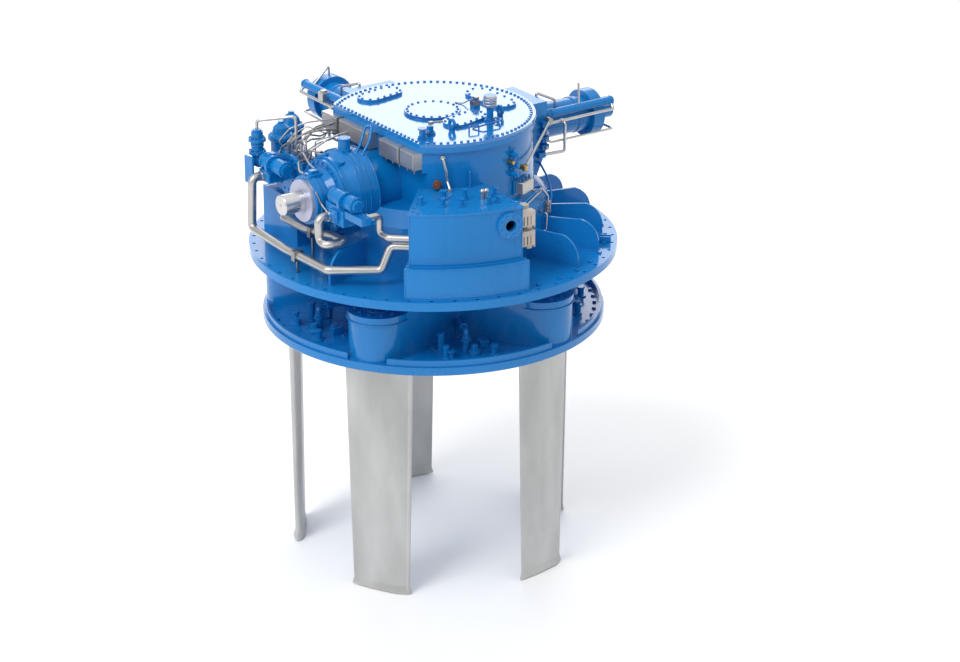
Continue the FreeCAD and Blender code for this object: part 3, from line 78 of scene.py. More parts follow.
def finish_material(name):
    """An empty node material with its output and Principled shader."""
    material = bpy.data.materials.new(name)
    material.use_nodes = True
    tree = material.node_tree
    tree.nodes.clear()
    output = tree.nodes.new("ShaderNodeOutputMaterial")
    shader = tree.nodes.new("ShaderNodeBsdfPrincipled")
    tree.links.new(shader.outputs["BSDF"], output.inputs["Surface"])
    return material, tree, shader


floor_mesh = bpy.data.meshes.new("studio_floor")
floor_bm = bmesh.new()
bmesh.ops.create_grid(floor_bm, x_segments=1, y_segments=1, size=FLOOR_HALF_SIDE)
bmesh.ops.translate(floor_bm, verts=floor_bm.verts, vec=(0.0, 0.0, lowest - FLOOR_GAP))
floor_bm.to_mesh(floor_mesh)
floor_bm.free()
floor = bpy.data.objects.new("studio_floor", floor_mesh)
bpy.context.scene.collection.objects.link(floor)
floor_material, _, floor_shader = finish_material("pale_floor")
floor_shader.inputs["Base Color"].default_value = (0.93, 0.93, 0.93, 1.0)
floor_shader.inputs["Roughness"].default_value = 0.55
floor_mesh.materials.append(floor_material)

world = bpy.data.worlds.new("studio_world")
bpy.context.scene.world = world
world.use_nodes = True
sky = world.node_tree
sky.nodes.clear()
sky_output = sky.nodes.new("ShaderNodeOutputWorld")
sky_light = sky.nodes.new("ShaderNodeBackground")
sky_light.inputs["Color"].default_value = (0.985, 0.99, 1.0, 1.0)
sky_place = sky.nodes.new("ShaderNodeTexCoord")
sky_parts = sky.nodes.new("ShaderNodeSeparateXYZ")
sky_fade = sky.nodes.new("ShaderNodeMapRange")
for socket_name, value in (("From Min", 0.0), ("From Max", 0.75), ("To Min", 0.40),
                           ("To Max", 0.98)):
    sky_fade.inputs[socket_name].default_value = value
sky.links.new(sky_place.outputs["Generated"], sky_parts.inputs["Vector"])
sky.links.new(sky_parts.outputs["Z"], sky_fade.inputs["Value"])
sky.links.new(sky_fade.outputs["Result"], sky_light.inputs["Strength"])
sky_seen = sky.nodes.new("ShaderNodeBackground")
sky_seen.inputs["Color"].default_value = (1.0, 1.0, 1.0, 1.0)
sky_seen.inputs["Strength"].default_value = 1.0
sky_path = sky.nodes.new("ShaderNodeLightPath")
sky_mix = sky.nodes.new("ShaderNodeMixShader")
sky.links.new(sky_path.outputs["Is Camera Ray"], sky_mix.inputs[0])
sky.links.new(sky_light.outputs["Background"], sky_mix.inputs[1])
sky.links.new(sky_seen.outputs["Background"], sky_mix.inputs[2])
sky.links.new(sky_mix.outputs["Shader"], sky_output.inputs["Surface"])


def aim_at_object(lamp, place):
    lamp.location = place
    lamp.rotation_euler = (LAMP_AIM - Vector(place)).to_track_quat("-Z", "Y").to_euler()


sun_data = bpy.data.lights.new("soft_sun", "SUN")
sun_data.energy = 1.3
sun_data.angle = math.radians(24)
sun = bpy.data.objects.new("soft_sun", sun_data)
bpy.context.scene.collection.objects.link(sun)
aim_at_object(sun, (-9.0, -2.6, 10.5))
# Lamps: name, place, width, height and power.
LAMPS = [
    ("back_card", (7.2, 10.3, 5.6), 13.0, 6.0, 520.0),
    ("side_card", (-13.0, 1.0, 4.5), 7.0, 5.0, 160.0),
]
for lamp_name, lamp_place, lamp_width, lamp_height, lamp_power in LAMPS:
    lamp_data = bpy.data.lights.new(lamp_name, "AREA")
    lamp_data.shape = "RECTANGLE"
    lamp_data.size = lamp_width
    lamp_data.size_y = lamp_height
    lamp_data.energy = lamp_power
    lamp = bpy.data.objects.new(lamp_name, lamp_data)
    bpy.context.scene.collection.objects.link(lamp)
    aim_at_object(lamp, lamp_place)
bpy.context.scene.view_settings.view_transform = "Standard"


# Hull flange, lower housing and ribs: thick machined ring and welded steel plate,
# sprayed gloss blue. The ribs are welded to the drum and the flange, so beads run
# along their feet, and a short channel and a row of pads are welded on.

# The paint is the first finish that needs the worked surface: a slow change of
# tone, a fine speckle, edges mixed towards a second colour and a small bump, which
# every finish shares. On the bare metals that second colour is rubbed metal; on
# the paints it is a lighter blue, a painted edge highlight.
surface_group = bpy.data.node_groups.new("worked_surface", "ShaderNodeTree")
new_socket = surface_group.interface.new_socket
new_socket(name="Colour", in_out="INPUT", socket_type="NodeSocketColor")
new_socket(name="Edge Wear And Highlight Colour", in_out="INPUT", socket_type="NodeSocketColor")
for socket_name, default in (("Roughness", 0.3), ("Cloud Scale", 1.5), ("Grain Scale", 60.0),
                             ("Variation", 0.1), ("Wear", 0.2), ("Bump", 0.05), ("Stretch", 1.0)):
    socket = new_socket(name=socket_name, in_out="INPUT", socket_type="NodeSocketFloat")
    socket.default_value = default
new_socket(name="Colour", in_out="OUTPUT", socket_type="NodeSocketColor")
new_socket(name="Roughness", in_out="OUTPUT", socket_type="NodeSocketFloat")
new_socket(name="Normal", in_out="OUTPUT", socket_type="NodeSocketVector")
g_in = surface_group.nodes.new("NodeGroupInput")
g_out = surface_group.nodes.new("NodeGroupOutput")
g_place = surface_group.nodes.new("ShaderNodeTexCoord")
g_stretch = surface_group.nodes.new("ShaderNodeCombineXYZ")
g_stretch.inputs["X"].default_value = 1.0
g_stretch.inputs["Y"].default_value = 1.0
g_scaled = surface_group.nodes.new("ShaderNodeVectorMath")
g_scaled.operation = "MULTIPLY"
g_cloud = surface_group.nodes.new("ShaderNodeTexNoise")
g_cloud.inputs["Detail"].default_value = 5.0
g_grain = surface_group.nodes.new("ShaderNodeTexNoise")
g_grain.inputs["Detail"].default_value = 3.0
g_cloud_range = surface_group.nodes.new("ShaderNodeMapRange")
g_cloud_range.inputs["From Min"].default_value = 0.3
g_cloud_range.inputs["From Max"].default_value = 0.7
g_low = surface_group.nodes.new("ShaderNodeMath")
g_low.operation = "SUBTRACT"
g_low.inputs[0].default_value = 1.0
g_high = surface_group.nodes.new("ShaderNodeMath")
g_high.operation = "ADD"
g_high.inputs[0].default_value = 1.0
g_tone = surface_group.nodes.new("ShaderNodeVectorMath")
g_tone.operation = "SCALE"
g_edge = surface_group.nodes.new("ShaderNodeNewGeometry")
# Convex edges, found by pointiness, take the second colour: rubbed metal on the bare finishes, a
# painted edge highlight on the paints.
g_edge_mask = surface_group.nodes.new("ShaderNodeMapRange")
g_edge_mask.inputs["From Min"].default_value = 0.52
g_edge_mask.inputs["From Max"].default_value = 0.62
g_edge_wear_and_highlight = surface_group.nodes.new("ShaderNodeMath")
g_edge_wear_and_highlight.operation = "MULTIPLY"
g_edge_wear_and_highlight_grain = surface_group.nodes.new("ShaderNodeMath")
g_edge_wear_and_highlight_grain.operation = "MULTIPLY"
g_mix = surface_group.nodes.new("ShaderNodeMix")
g_mix.data_type = "RGBA"
g_rough = surface_group.nodes.new("ShaderNodeMath")
g_rough.operation = "MULTIPLY_ADD"
g_rough_shift = surface_group.nodes.new("ShaderNodeMath")
g_rough_shift.operation = "SUBTRACT"
g_rough_shift.inputs[1].default_value = 0.5
g_bump = surface_group.nodes.new("ShaderNodeBump")
g_bump.inputs["Distance"].default_value = 0.002
link = surface_group.links.new
link(g_in.outputs["Stretch"], g_stretch.inputs["Z"])
link(g_place.outputs["Object"], g_scaled.inputs[0])
link(g_stretch.outputs["Vector"], g_scaled.inputs[1])
link(g_scaled.outputs["Vector"], g_cloud.inputs["Vector"])
link(g_scaled.outputs["Vector"], g_grain.inputs["Vector"])
link(g_in.outputs["Cloud Scale"], g_cloud.inputs["Scale"])
link(g_in.outputs["Grain Scale"], g_grain.inputs["Scale"])
link(g_cloud.outputs["Fac"], g_cloud_range.inputs["Value"])
link(g_in.outputs["Variation"], g_low.inputs[1])
link(g_in.outputs["Variation"], g_high.inputs[1])
link(g_low.outputs["Value"], g_cloud_range.inputs["To Min"])
link(g_high.outputs["Value"], g_cloud_range.inputs["To Max"])
link(g_in.outputs["Colour"], g_tone.inputs[0])
link(g_cloud_range.outputs["Result"], g_tone.inputs["Scale"])
link(g_edge.outputs["Pointiness"], g_edge_mask.inputs["Value"])
link(g_edge_mask.outputs["Result"], g_edge_wear_and_highlight.inputs[0])
link(g_in.outputs["Wear"], g_edge_wear_and_highlight.inputs[1])
link(g_edge_wear_and_highlight.outputs["Value"], g_edge_wear_and_highlight_grain.inputs[0])
link(g_grain.outputs["Fac"], g_edge_wear_and_highlight_grain.inputs[1])
link(g_edge_wear_and_highlight_grain.outputs["Value"], g_mix.inputs["Factor"])
link(g_tone.outputs["Vector"], g_mix.inputs["A"])
link(g_in.outputs["Edge Wear And Highlight Colour"], g_mix.inputs["B"])
link(g_grain.outputs["Fac"], g_rough_shift.inputs[0])
link(g_rough_shift.outputs["Value"], g_rough.inputs[0])
link(g_in.outputs["Variation"], g_rough.inputs[1])
link(g_in.outputs["Roughness"], g_rough.inputs[2])
link(g_grain.outputs["Fac"], g_bump.inputs["Height"])
link(g_in.outputs["Bump"], g_bump.inputs["Strength"])
link(g_mix.outputs["Result"], g_out.inputs["Colour"])
link(g_rough.outputs["Value"], g_out.inputs["Roughness"])
link(g_bump.outputs["Normal"], g_out.inputs["Normal"])


def worked_material(name, colour, edge_wear_and_highlight_colour, metallic=0.0, coat=0.0, specular=0.5, **values):
    """A material whose colour, roughness and normal come from the worked surface."""
    material, tree, shader = finish_material(name)
    group = tree.nodes.new("ShaderNodeGroup")
    group.node_tree = surface_group
    group.inputs["Colour"].default_value = (*colour, 1.0)
    group.inputs["Edge Wear And Highlight Colour"].default_value = (*edge_wear_and_highlight_colour, 1.0)
    for key, value in values.items():
        group.inputs[key.replace("_", " ").title()].default_value = value
    tree.links.new(group.outputs["Colour"], shader.inputs["Base Color"])
    tree.links.new(group.outputs["Roughness"], shader.inputs["Roughness"])
    tree.links.new(group.outputs["Normal"], shader.inputs["Normal"])
    shader.inputs["Metallic"].default_value = metallic
    shader.inputs["Coat Weight"].default_value = coat
    shader.inputs["Coat Roughness"].default_value = 0.06
    shader.inputs["Specular IOR Level"].default_value = specular
    return material


PAINT_BLUE = (0.0005, 0.172, 0.490)
# The paints' edge colour is a lighter, lit blue: a painted highlight along their edges.
PAINT_EDGE_HIGHLIGHT = (0.03, 0.26, 0.66)
SLOT_MATERIAL = {}
SLOT_MATERIAL["housing_paint"] = worked_material(
    "blue_gloss_paint", PAINT_BLUE, PAINT_EDGE_HIGHLIGHT, coat=0.42, specular=0.17, roughness=0.24,
    cloud_scale=1.3, grain_scale=38.0, variation=0.08, wear=0.5, bump=0.015)


def dress(slot, *names):
    """Give plain CAD nodes the finish of a slot."""
    for name in names:
        mesh = nodes[name].data
        mesh.materials.clear()
        mesh.materials.append(SLOT_MATERIAL[slot])


def stand(centre, axis, height):
    """Matrix that puts a shape's foot at a centre, rising along an axis."""
    direction = Vector(axis).normalized()
    turn = direction.to_track_quat("Z", "Y").to_matrix().to_4x4()
    return Matrix.Translation(Vector(centre) + direction * height / 2) @ turn


def add_round(bm, centre, axis, radius, height, top=None, segments=24):
    bmesh.ops.create_cone(bm, cap_ends=True, segments=segments, radius1=radius,
                          radius2=radius if top is None else top, depth=height,
                          matrix=stand(centre, axis, height))


def add_block(bm, low, high, turn=Matrix.Identity(4)):
    low, high = Vector(low), Vector(high)
    span = high - low
    bmesh.ops.create_cube(bm, size=1.0, matrix=turn @ Matrix.Translation((low + high) / 2) @
                          Matrix.Diagonal((span.x, span.y, span.z, 1.0)))


def add_bead(bm, start, end, size, overlap=0.0, segments=8):
    """A straight run of weld bead between two points."""
    add_round(bm, start, end - start, size, (end - start).length + overlap, segments=segments)


def finish_piece(name, bm, slot, body, bevel=0.002):
    bmesh.ops.recalc_face_normals(bm, faces=bm.faces)
    mesh = bpy.data.meshes.new(name)
    bm.to_mesh(mesh)
    bm.free()
    mesh.polygons.foreach_set("use_smooth", [True] * len(mesh.polygons))
    mesh.set_sharp_from_angle(angle=math.radians(32))
    mesh.materials.append(SLOT_MATERIAL[slot])
    piece = bpy.data.objects.new(name, mesh)
    bpy.context.scene.collection.objects.link(piece)
    if bevel:
        softened = piece.modifiers.new("softened_edges", "BEVEL")
        softened.width = bevel
        softened.segments = 2
        softened.limit_method = "ANGLE"
        softened.angle_limit = math.radians(40)
    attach(piece, body)
    return piece


def polar(radius, angle, height=0.0):
    turn = math.radians(angle)
    return Vector((radius * math.cos(turn), radius * math.sin(turn), height))


FLANGE_TOP = 0.086
RIB_ANGLES = (-160, -68, -50, -32, -14, 4, 22, 40, 58, 76, 94, 112, 130)
dress("housing_paint", "hull_flange", "lower_housing", "flange_ribs")
bm = bmesh.new()
for angle in RIB_ANGLES:
    for side in (-1, 1):
        aside = side * polar(0.014, angle + 90)
        add_bead(bm, polar(1.140, angle, 0.089) + aside, polar(1.694, angle, 0.089) + aside, 0.008)
        add_bead(bm, polar(1.134, angle, 0.092) + aside, polar(1.134, angle, 0.392) + aside, 0.007)
finish_piece("rib_welds", bm, "housing_paint", "housing", 0)
turn = Matrix.Rotation(math.radians(-41), 4, "Z")
bm = bmesh.new()
add_block(bm, (1.660, -0.035, FLANGE_TOP), (1.782, -0.023, 0.150), turn)
add_block(bm, (1.660, 0.023, FLANGE_TOP), (1.782, 0.035, 0.150), turn)
add_block(bm, (1.660, -0.035, FLANGE_TOP), (1.782, 0.035, 0.097), turn)
for angle in range(-88, 128, 9):
    add_block(bm, (1.702, -0.020, FLANGE_TOP), (1.742, 0.020, 0.104),
              Matrix.Rotation(math.radians(angle), 4, "Z"))
finish_piece("flange_trim", bm, "housing_paint", "housing")


# Drum: the welded upper housing with its seams, a sensor box and a small valve
# group screwed to it, the slim bright strut to the servomotor bracket, and small
# bore steel lines that end in unions.
SLOT_MATERIAL["box_grey"] = worked_material(
    "terminal_box_metal", (0.50, 0.48, 0.46), (0.7, 0.7, 0.68), metallic=0.8, roughness=0.34,
    cloud_scale=3.0, grain_scale=110.0, variation=0.08, wear=0.5, bump=0.05)
SLOT_MATERIAL["pipe_steel"] = worked_material(
    "bright_pipe_metal", (0.56, 0.55, 0.54), (0.85, 0.85, 0.85), metallic=0.95, roughness=0.31,
    cloud_scale=5.0, grain_scale=160.0, variation=0.08, wear=0.4, bump=0.04)
SLOT_MATERIAL["gear_steel"] = worked_material(
    "oiled_gear_metal", (0.33, 0.32, 0.31), (0.55, 0.54, 0.52), metallic=0.95, roughness=0.3,
    cloud_scale=5.0, grain_scale=150.0, variation=0.1, wear=0.5, bump=0.05)
SLOT_MATERIAL["bearing_bronze"] = worked_material(
    "bearing_bronze_metal", (0.5, 0.33, 0.12), (0.7, 0.52, 0.25), metallic=0.95, roughness=0.3,
    cloud_scale=5.0, grain_scale=150.0, variation=0.1, wear=0.4, bump=0.04)


UP = (0, 0, 1)


def add_bowed_bead(bm, centre, radius, start, arc, steps, size):
    """A weld bead along an arc, laid as short straight runs that overlap a little."""
    places = [Vector(centre) + polar(radius, start + arc * step / steps)
              for step in range(steps + 1)]
    for one, two in zip(places, places[1:]):
        add_bead(bm, one, two, size, overlap=0.004)


def bend_point(corner, neighbour, reach):
    """Where a bend begins on the leg from its corner to a neighbour."""
    leg = neighbour - corner
    return corner + leg.normalized() * min(reach, leg.length * 0.45)


def bent_tube(name, points, radius, slot, body, reach=0.045):
    """A tube with tight smooth bends at its corners."""
    points = [Vector(point) for point in points]
    run = [points[0]]
    for before, corner, after in zip(points, points[1:], points[2:]):
        run += [bend_point(corner, before, reach), corner, bend_point(corner, after, reach)]
    run.append(points[-1])
    curve = bpy.data.curves.new(name, "CURVE")
    curve.dimensions = "3D"
    curve.bevel_depth = radius
    curve.bevel_resolution = 4
    curve.use_fill_caps = True
    spline = curve.splines.new("NURBS")
    spline.points.add(len(run) - 1)
    for place, point in zip(spline.points, run):
        place.co = (*point, 1.0)
    spline.use_endpoint_u = True
    spline.order_u = 3
    spline.resolution_u = 6
    curve.materials.append(SLOT_MATERIAL[slot])
    piece = bpy.data.objects.new(name, curve)
    bpy.context.scene.collection.objects.link(piece)
    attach(piece, body)
    return piece


dress("housing_paint", "upper_housing")
bm = bmesh.new()
for radius, height in ((1.132, 0.092), (1.131, 0.560), (1.002, 0.700)):
    add_bowed_bead(bm, (0, 0, height), radius, -92.0, 222.0, 90, 0.007)
finish_piece("drum_welds", bm, "housing_paint", "housing", 0)
bm = bmesh.new()
turn = Matrix.Rotation(math.radians(-66), 4, "Z")
add_block(bm, (1.012, -0.105, 0.745), (1.098, 0.105, 0.865), turn)
finish_piece("sensor_box", bm, "box_grey", "housing", 0.006)
bm = bmesh.new()
add_block(bm, (0.999, -0.125, 0.730), (1.016, 0.125, 0.880), turn)
for side in (-0.09, -0.03, 0.03, 0.09):
    add_round(bm, turn @ Vector((1.055, side, 0.865)), UP, 0.012, 0.030, segments=12)
for height, width in ((0.96, 0.030), (1.06, 0.040), (1.16, 0.028)):
    add_round(bm, polar(0.998, -74, height), polar(1, -74), width, 0.060)
    add_round(bm, polar(1.055, -74, height), polar(1, -74), 0.7 * width, 0.034, segments=6)
add_round(bm, polar(1.030, -74, 0.930), UP, 0.016, 0.300)
finish_piece("drum_trim", bm, "housing_paint", "housing")
bent_tube("slim_strut", [polar(1.100, -69.5, 1.020), (1.185, -0.345, 1.160)], 0.013, "pipe_steel",
          "housing")
bm = bmesh.new()
add_round(bm, polar(0.998, -69.5, 1.020), polar(1, -69.5), 0.024, 0.120)
add_round(bm, polar(1.100, -69.5, 1.046), (0, 0, -1), 0.030, 0.052)
add_round(bm, polar(0.998, -77.0, 1.100), polar(1, -77), 0.020, 0.075)
finish_piece("strut_end_brass", bm, "bearing_bronze", "housing")
bm = bmesh.new()
add_round(bm, (1.185, -0.2895, 1.160), (0, -1, 0), 0.030, 0.074)
finish_piece("strut_end_dark", bm, "gear_steel", "housing")
# Lines on the drum: course, radius and slot.
DRUM_LINES = [
    ([polar(1.000, -77, 0.705), polar(1.150, -74, 0.690), polar(1.130, -61.3, 0.722),
      polar(1.110, -49.2, 0.700), polar(1.040, -46, 0.664)], 0.009, "housing_paint"),
    ([polar(1.028, -79, 0.672), polar(1.155, -73, 0.655), polar(1.135, -59.5, 0.692),
      polar(1.115, -46.8, 0.663), polar(1.056, -43, 0.643)], 0.009, "pipe_steel"),
    ([polar(1.030, -52, 0.672), polar(1.120, -50.5, 0.686), polar(1.160, -46, 0.588),
      polar(1.160, -45.5, 0.520)], 0.012, "pipe_steel"),
    ([(1.080, -0.288, 0.730), (1.080, -0.330, 0.725), polar(1.150, -24, 0.660),
      polar(1.170, -34, 0.600), polar(1.185, -41, 0.540), polar(1.160, -43.5, 0.470)], 0.011,
     "housing_paint"),
    ([polar(1.130, -57, 0.500), polar(1.235, -59, 0.500), polar(1.235, -60, 0.330),
      polar(1.130, -63, 0.330)], 0.008, "pipe_steel"),
]
for number, (points, radius, slot) in enumerate(DRUM_LINES):
    bent_tube("drum_line_%d" % (number + 1), points, radius, slot, "housing", 0.04)
bm = bmesh.new()
turn = Matrix.Rotation(math.radians(-45), 4, "Z")
add_block(bm, (1.129, -0.026, 0.405), (1.190, 0.026, 0.525), turn)
for height in (0.425, 0.465, 0.505):
    add_round(bm, turn @ Vector((1.164, -0.026, height)), turn @ Vector((0, -1, 0)), 0.014, 0.026,
              segments=6)
finish_piece("drum_valve_block", bm, "box_grey", "housing", 0.003)
bm = bmesh.new()
for angle, height, radius in ((-77, 0.705, 1.0), (-79, 0.672, 1.028), (-57, 0.500, 1.129),
                              (-63, 0.330, 1.129)):
    add_round(bm, polar(radius - 0.004, angle, height), polar(1, angle), 0.018, 0.034, segments=6)
finish_piece("drum_line_unions", bm, "gear_steel", "housing")


# Top cover: one machined plate with a glossier coat of the same paint, bolted to
# the drum's rim. Its four hatch lids are bolted down too, and the breather, valve
# and switch are screwed into it, with their thin lines.
cover_paint = worked_material(
    "cover_mirror_paint", PAINT_BLUE, PAINT_EDGE_HIGHLIGHT, coat=0.8, specular=0.5, roughness=0.16,
    cloud_scale=1.3, grain_scale=38.0, variation=0.06, wear=0.4, bump=0.01)
SLOT_MATERIAL["bolt_paint"] = worked_material(
    "bolt_blue_paint", (0.006, 0.13, 0.42), PAINT_EDGE_HIGHLIGHT, coat=0.5, roughness=0.34, cloud_scale=6.0,
    grain_scale=120.0, variation=0.15, wear=0.7, bump=0.08)


def add_hex(bm, centre, axis, radius, height):
    """A bolt: a thin washer and a six-sided head."""
    add_round(bm, centre, axis, 1.25 * radius, 0.25 * height, segments=16)
    add_round(bm, centre, axis, radius, height, 0.94 * radius, 6)


def add_ring(bm, centre, axis, radius, half_width, half_height, steps=72, corners=8):
    """A bead or band that runs round an axis."""
    turn = Vector(axis).normalized().to_track_quat("Z", "Y").to_matrix().to_4x4()
    place = Matrix.Translation(Vector(centre)) @ turn
    upright = (Matrix.Rotation(math.radians(90), 4, "X")
               @ Matrix.Diagonal((half_width, half_height, 1.0, 1.0)))
    circle = bmesh.ops.create_circle(bm, cap_ends=False, segments=corners, radius=1.0,
                                     matrix=place @ Matrix.Translation((radius, 0, 0)) @ upright)
    edges = dict.fromkeys(edge for corner in circle["verts"] for edge in corner.link_edges)
    bmesh.ops.spin(bm, geom=circle["verts"] + list(edges), cent=centre,
                   axis=Vector(axis).normalized(), angle=2 * math.pi, steps=steps, use_merge=True)


def add_bolt_circle(bm, centre, axis, circle, count, radius, height, start=0.0):
    """Bolts in a circle round an axis, the first one turned by start degrees."""
    turn = Vector(axis).normalized().to_track_quat("Z", "Y").to_matrix()
    for number in range(count):
        angle = math.radians(start + 360.0 * number / count)
        aside = turn @ Vector((circle * math.cos(angle), circle * math.sin(angle), 0.0))
        add_hex(bm, Vector(centre) + aside, axis, radius, height)


dress("housing_paint", "top_cover", "hatch_lids", "cover_fittings")
dress("bolt_paint", "cover_bolts")
for name in ("top_cover", "hatch_lids"):
    nodes[name].data.materials[0] = cover_paint
COVER_TOP = 1.386
HATCH_TOP = 1.414
BREATHER = (0.297, -0.564)
NOZZLE = (-0.552, -0.640)
VALVE = (-0.406, -0.557)
# Oblong lids: place, length, width and turn.
OBLONGS = ((-0.147, 0.722, 0.530, 0.270, 11), (0.694, -0.010, 0.680, 0.300, 89),
           (0.110, -0.408, 0.530, 0.270, 15))
bm = bmesh.new()
add_bolt_circle(bm, (0, 0, HATCH_TOP), UP, 0.252, 20, 0.012, 0.011)
for x, y, length, width, angle in OBLONGS:
    straight = (length - width) / 2
    inset = width / 2 - 0.024
    lid = Matrix.Translation((x, y, HATCH_TOP)) @ Matrix.Rotation(math.radians(angle), 4, "Z")
    for side in (-1, 1):
        for share in (-1.0, -0.33, 0.33):
            along = Vector((side * share * straight, side * inset, 0))
            add_hex(bm, lid @ along, UP, 0.012, 0.011)
        for swing in (90, 45, 0, -45):
            corner = Vector((side * straight, 0, 0)) + side * polar(inset, swing)
            add_hex(bm, lid @ corner, UP, 0.012, 0.011)
finish_piece("hatch_bolts", bm, "bolt_paint", "housing", 0)

bm = bmesh.new()
add_ring(bm, (0, 0, HATCH_TOP - 0.010), UP, 0.2785, 0.004, 0.008, 96)
add_round(bm, (*BREATHER, COVER_TOP + 0.016), UP, 0.040, 0.020)
for level in (0.165, 0.190, 0.215, 0.240):
    add_ring(bm, (*BREATHER, COVER_TOP + level), UP, 0.0625, 0.003, 0.006, 40)
add_bolt_circle(bm, (*BREATHER, COVER_TOP + 0.016), UP, 0.049, 6, 0.007, 0.008)
add_bolt_circle(bm, (*NOZZLE, COVER_TOP + 0.018), UP, 0.040, 6, 0.006, 0.008)
add_round(bm, (*NOZZLE, COVER_TOP + 0.096), UP, 0.045, 0.014)
add_bolt_circle(bm, (*VALVE, COVER_TOP + 0.018), UP, 0.045, 6, 0.006, 0.008)
add_block(bm, (0.383, -0.174, COVER_TOP + 0.084), (0.439, -0.118, COVER_TOP + 0.100))
finish_piece("cover_trim", bm, "bolt_paint", "housing")
bm = bmesh.new()
add_round(bm, (*BREATHER, 1.541), UP, 0.0636, 0.1106)
for height in (1.560, 1.590, 1.620):
    add_ring(bm, (*BREATHER, height), UP, 0.064, 0.005, 0.007, 48)
finish_piece("breather_cap", bm, "box_grey", "housing")
bent_tube("breather_line", [(0.330, -0.600, 1.425), (0.36, -0.66, 1.425), (0.30, -0.72, 1.430),
                            (0.10, -0.72, 1.420), (0.02, -0.66, 1.392)], 0.009, "bolt_paint",
          "housing")
bent_tube("valve_lever", [(*VALVE, 1.478), (*VALVE, 1.500), (-0.30, -0.62, 1.515)], 0.009,
          "gear_steel", "housing", 0.02)
bent_tube("cover_handle", [(-0.06, -0.72, 1.386), (-0.06, -0.72, 1.44), (0.04, -0.74, 1.44),
                           (0.04, -0.74, 1.386)], 0.008, "bolt_paint", "housing", 0.03)
bent_tube("nozzle_line", [(-0.52, -0.64, 1.43), (-0.46, -0.62, 1.43), (-0.44, -0.58, 1.44)], 0.011,
          "bolt_paint", "housing", 0.02)
bent_tube("switch_conduit", [(0.411, -0.118, 1.45), (0.411, -0.06, 1.45), (0.38, 0.02, 1.395),
                             (0.34, 0.10, 1.392)], 0.006, "gear_steel", "housing")


# Drive: the cast gear barrel and bearing nose, bolted flange to flange, round the
# ground input shaft. Weld beads ring the barrel; the cap ring closes the nose, and
# the pinion end, its bearing and the crown gear are hidden inside.
SLOT_MATERIAL["ring_steel"] = worked_material(
    "cap_ring_metal", (0.42, 0.45, 0.60), (0.62, 0.64, 0.72), metallic=0.6, roughness=0.35,
    cloud_scale=4.0, grain_scale=120.0, variation=0.08, wear=0.4, bump=0.04)
SLOT_MATERIAL["shaft_steel"] = worked_material(
    "ground_shaft_metal", (0.66, 0.65, 0.66), (0.85, 0.85, 0.85), metallic=0.9, roughness=0.24,
    cloud_scale=4.0, grain_scale=200.0, variation=0.06, wear=0.3, bump=0.03)
SLOT_MATERIAL["bearing_steel"] = worked_material(
    "bearing_ground_metal", (0.5, 0.5, 0.5), (0.7, 0.7, 0.7), metallic=0.95, roughness=0.2,
    cloud_scale=5.0, grain_scale=200.0, variation=0.05, wear=0.3, bump=0.02)
dress("housing_paint", "gear_barrel", "bearing_nose")
dress("ring_steel", "cap_ring")
dress("shaft_steel", "input_shaft")
dress("bearing_steel", "shaft_bearing")
dress("gear_steel", "crown_gear")
SHAFT_Z = 0.770
STUB_X = -1.037
bm = bmesh.new()
add_bolt_circle(bm, (-1.290, 0, SHAFT_Z), (-1, 0, 0), 0.338, 24, 0.016, 0.018)
for angle in range(0, 360, 30):
    direction = Vector((0, math.cos(math.radians(angle + 15)), math.sin(math.radians(angle + 15))))
    add_hex(bm, Vector((-1.445, 0, SHAFT_Z)) + direction * 0.238, direction, 0.012, 0.012)
add_bolt_circle(bm, (-1.335, 0.605, 0.790), (-1, 0, 0), 0.118, 10, 0.011, 0.012)
add_bolt_circle(bm, (-1.290, 0.605, 0.790), (-1, 0, 0), 0.196, 18, 0.012, 0.014)
add_bolt_circle(bm, (STUB_X, 0, 1.310), UP, 0.042, 6, 0.009, 0.010)
finish_piece("drive_bolts", bm, "bolt_paint", "housing", 0)

bm = bmesh.new()
for place_x, radius in ((-0.903, 0.427), (-1.000, 0.428), (-1.060, 0.428), (-1.108, 0.427),
                        (-1.238, 0.378)):
    add_ring(bm, (place_x, 0, SHAFT_Z), (1, 0, 0), radius, 0.006, 0.009, 96)
add_ring(bm, (-1.440, 0, SHAFT_Z), (1, 0, 0), 0.241, 0.010, 0.022, 72)
add_round(bm, (STUB_X, 0, 1.190), UP, 0.078, 0.022)
add_round(bm, (STUB_X, 0, 1.306), UP, 0.066, 0.012)
add_round(bm, (-1.205, 0.115, 1.120), (0, 0.30, 0.95), 0.060, 0.030)
add_round(bm, (-1.180, -0.150, 1.105), (0, -0.38, 0.92), 0.030, 0.055)
add_block(bm, (-1.470, -0.070, 0.985), (-1.330, 0.050, 1.030))
add_block(bm, (-1.440, -0.040, 1.028), (-1.360, 0.020, 1.062))
finish_piece("barrel_trim", bm, "housing_paint", "housing")
bent_tube("lifting_link", [(-0.960, -0.095, 1.170), (-0.905, -0.085, 1.250),
                           (-0.815, -0.045, 1.400), (-0.770, -0.085, 1.405),
                           (-0.830, -0.140, 1.290), (-0.935, -0.155, 1.150)], 0.014,
          "housing_paint", "housing", 0.05)
bm = bmesh.new()
add_ring(bm, (-1.5435, 0, SHAFT_Z), (1, 0, 0), 0.118, 0.010, 0.004, 64)
add_ring(bm, (-1.530, 0, SHAFT_Z), (1, 0, 0), 0.2075, 0.002, 0.006, 96)
finish_piece("seal_ring", bm, "ring_steel", "housing", 0)
bm = bmesh.new()
add_ring(bm, (-1.7708, 0, SHAFT_Z), (1, 0, 0), 0.012, 0.004, 0.0015, 32)
finish_piece("shaft_centre", bm, "gear_steel", "input_shaft", 0)


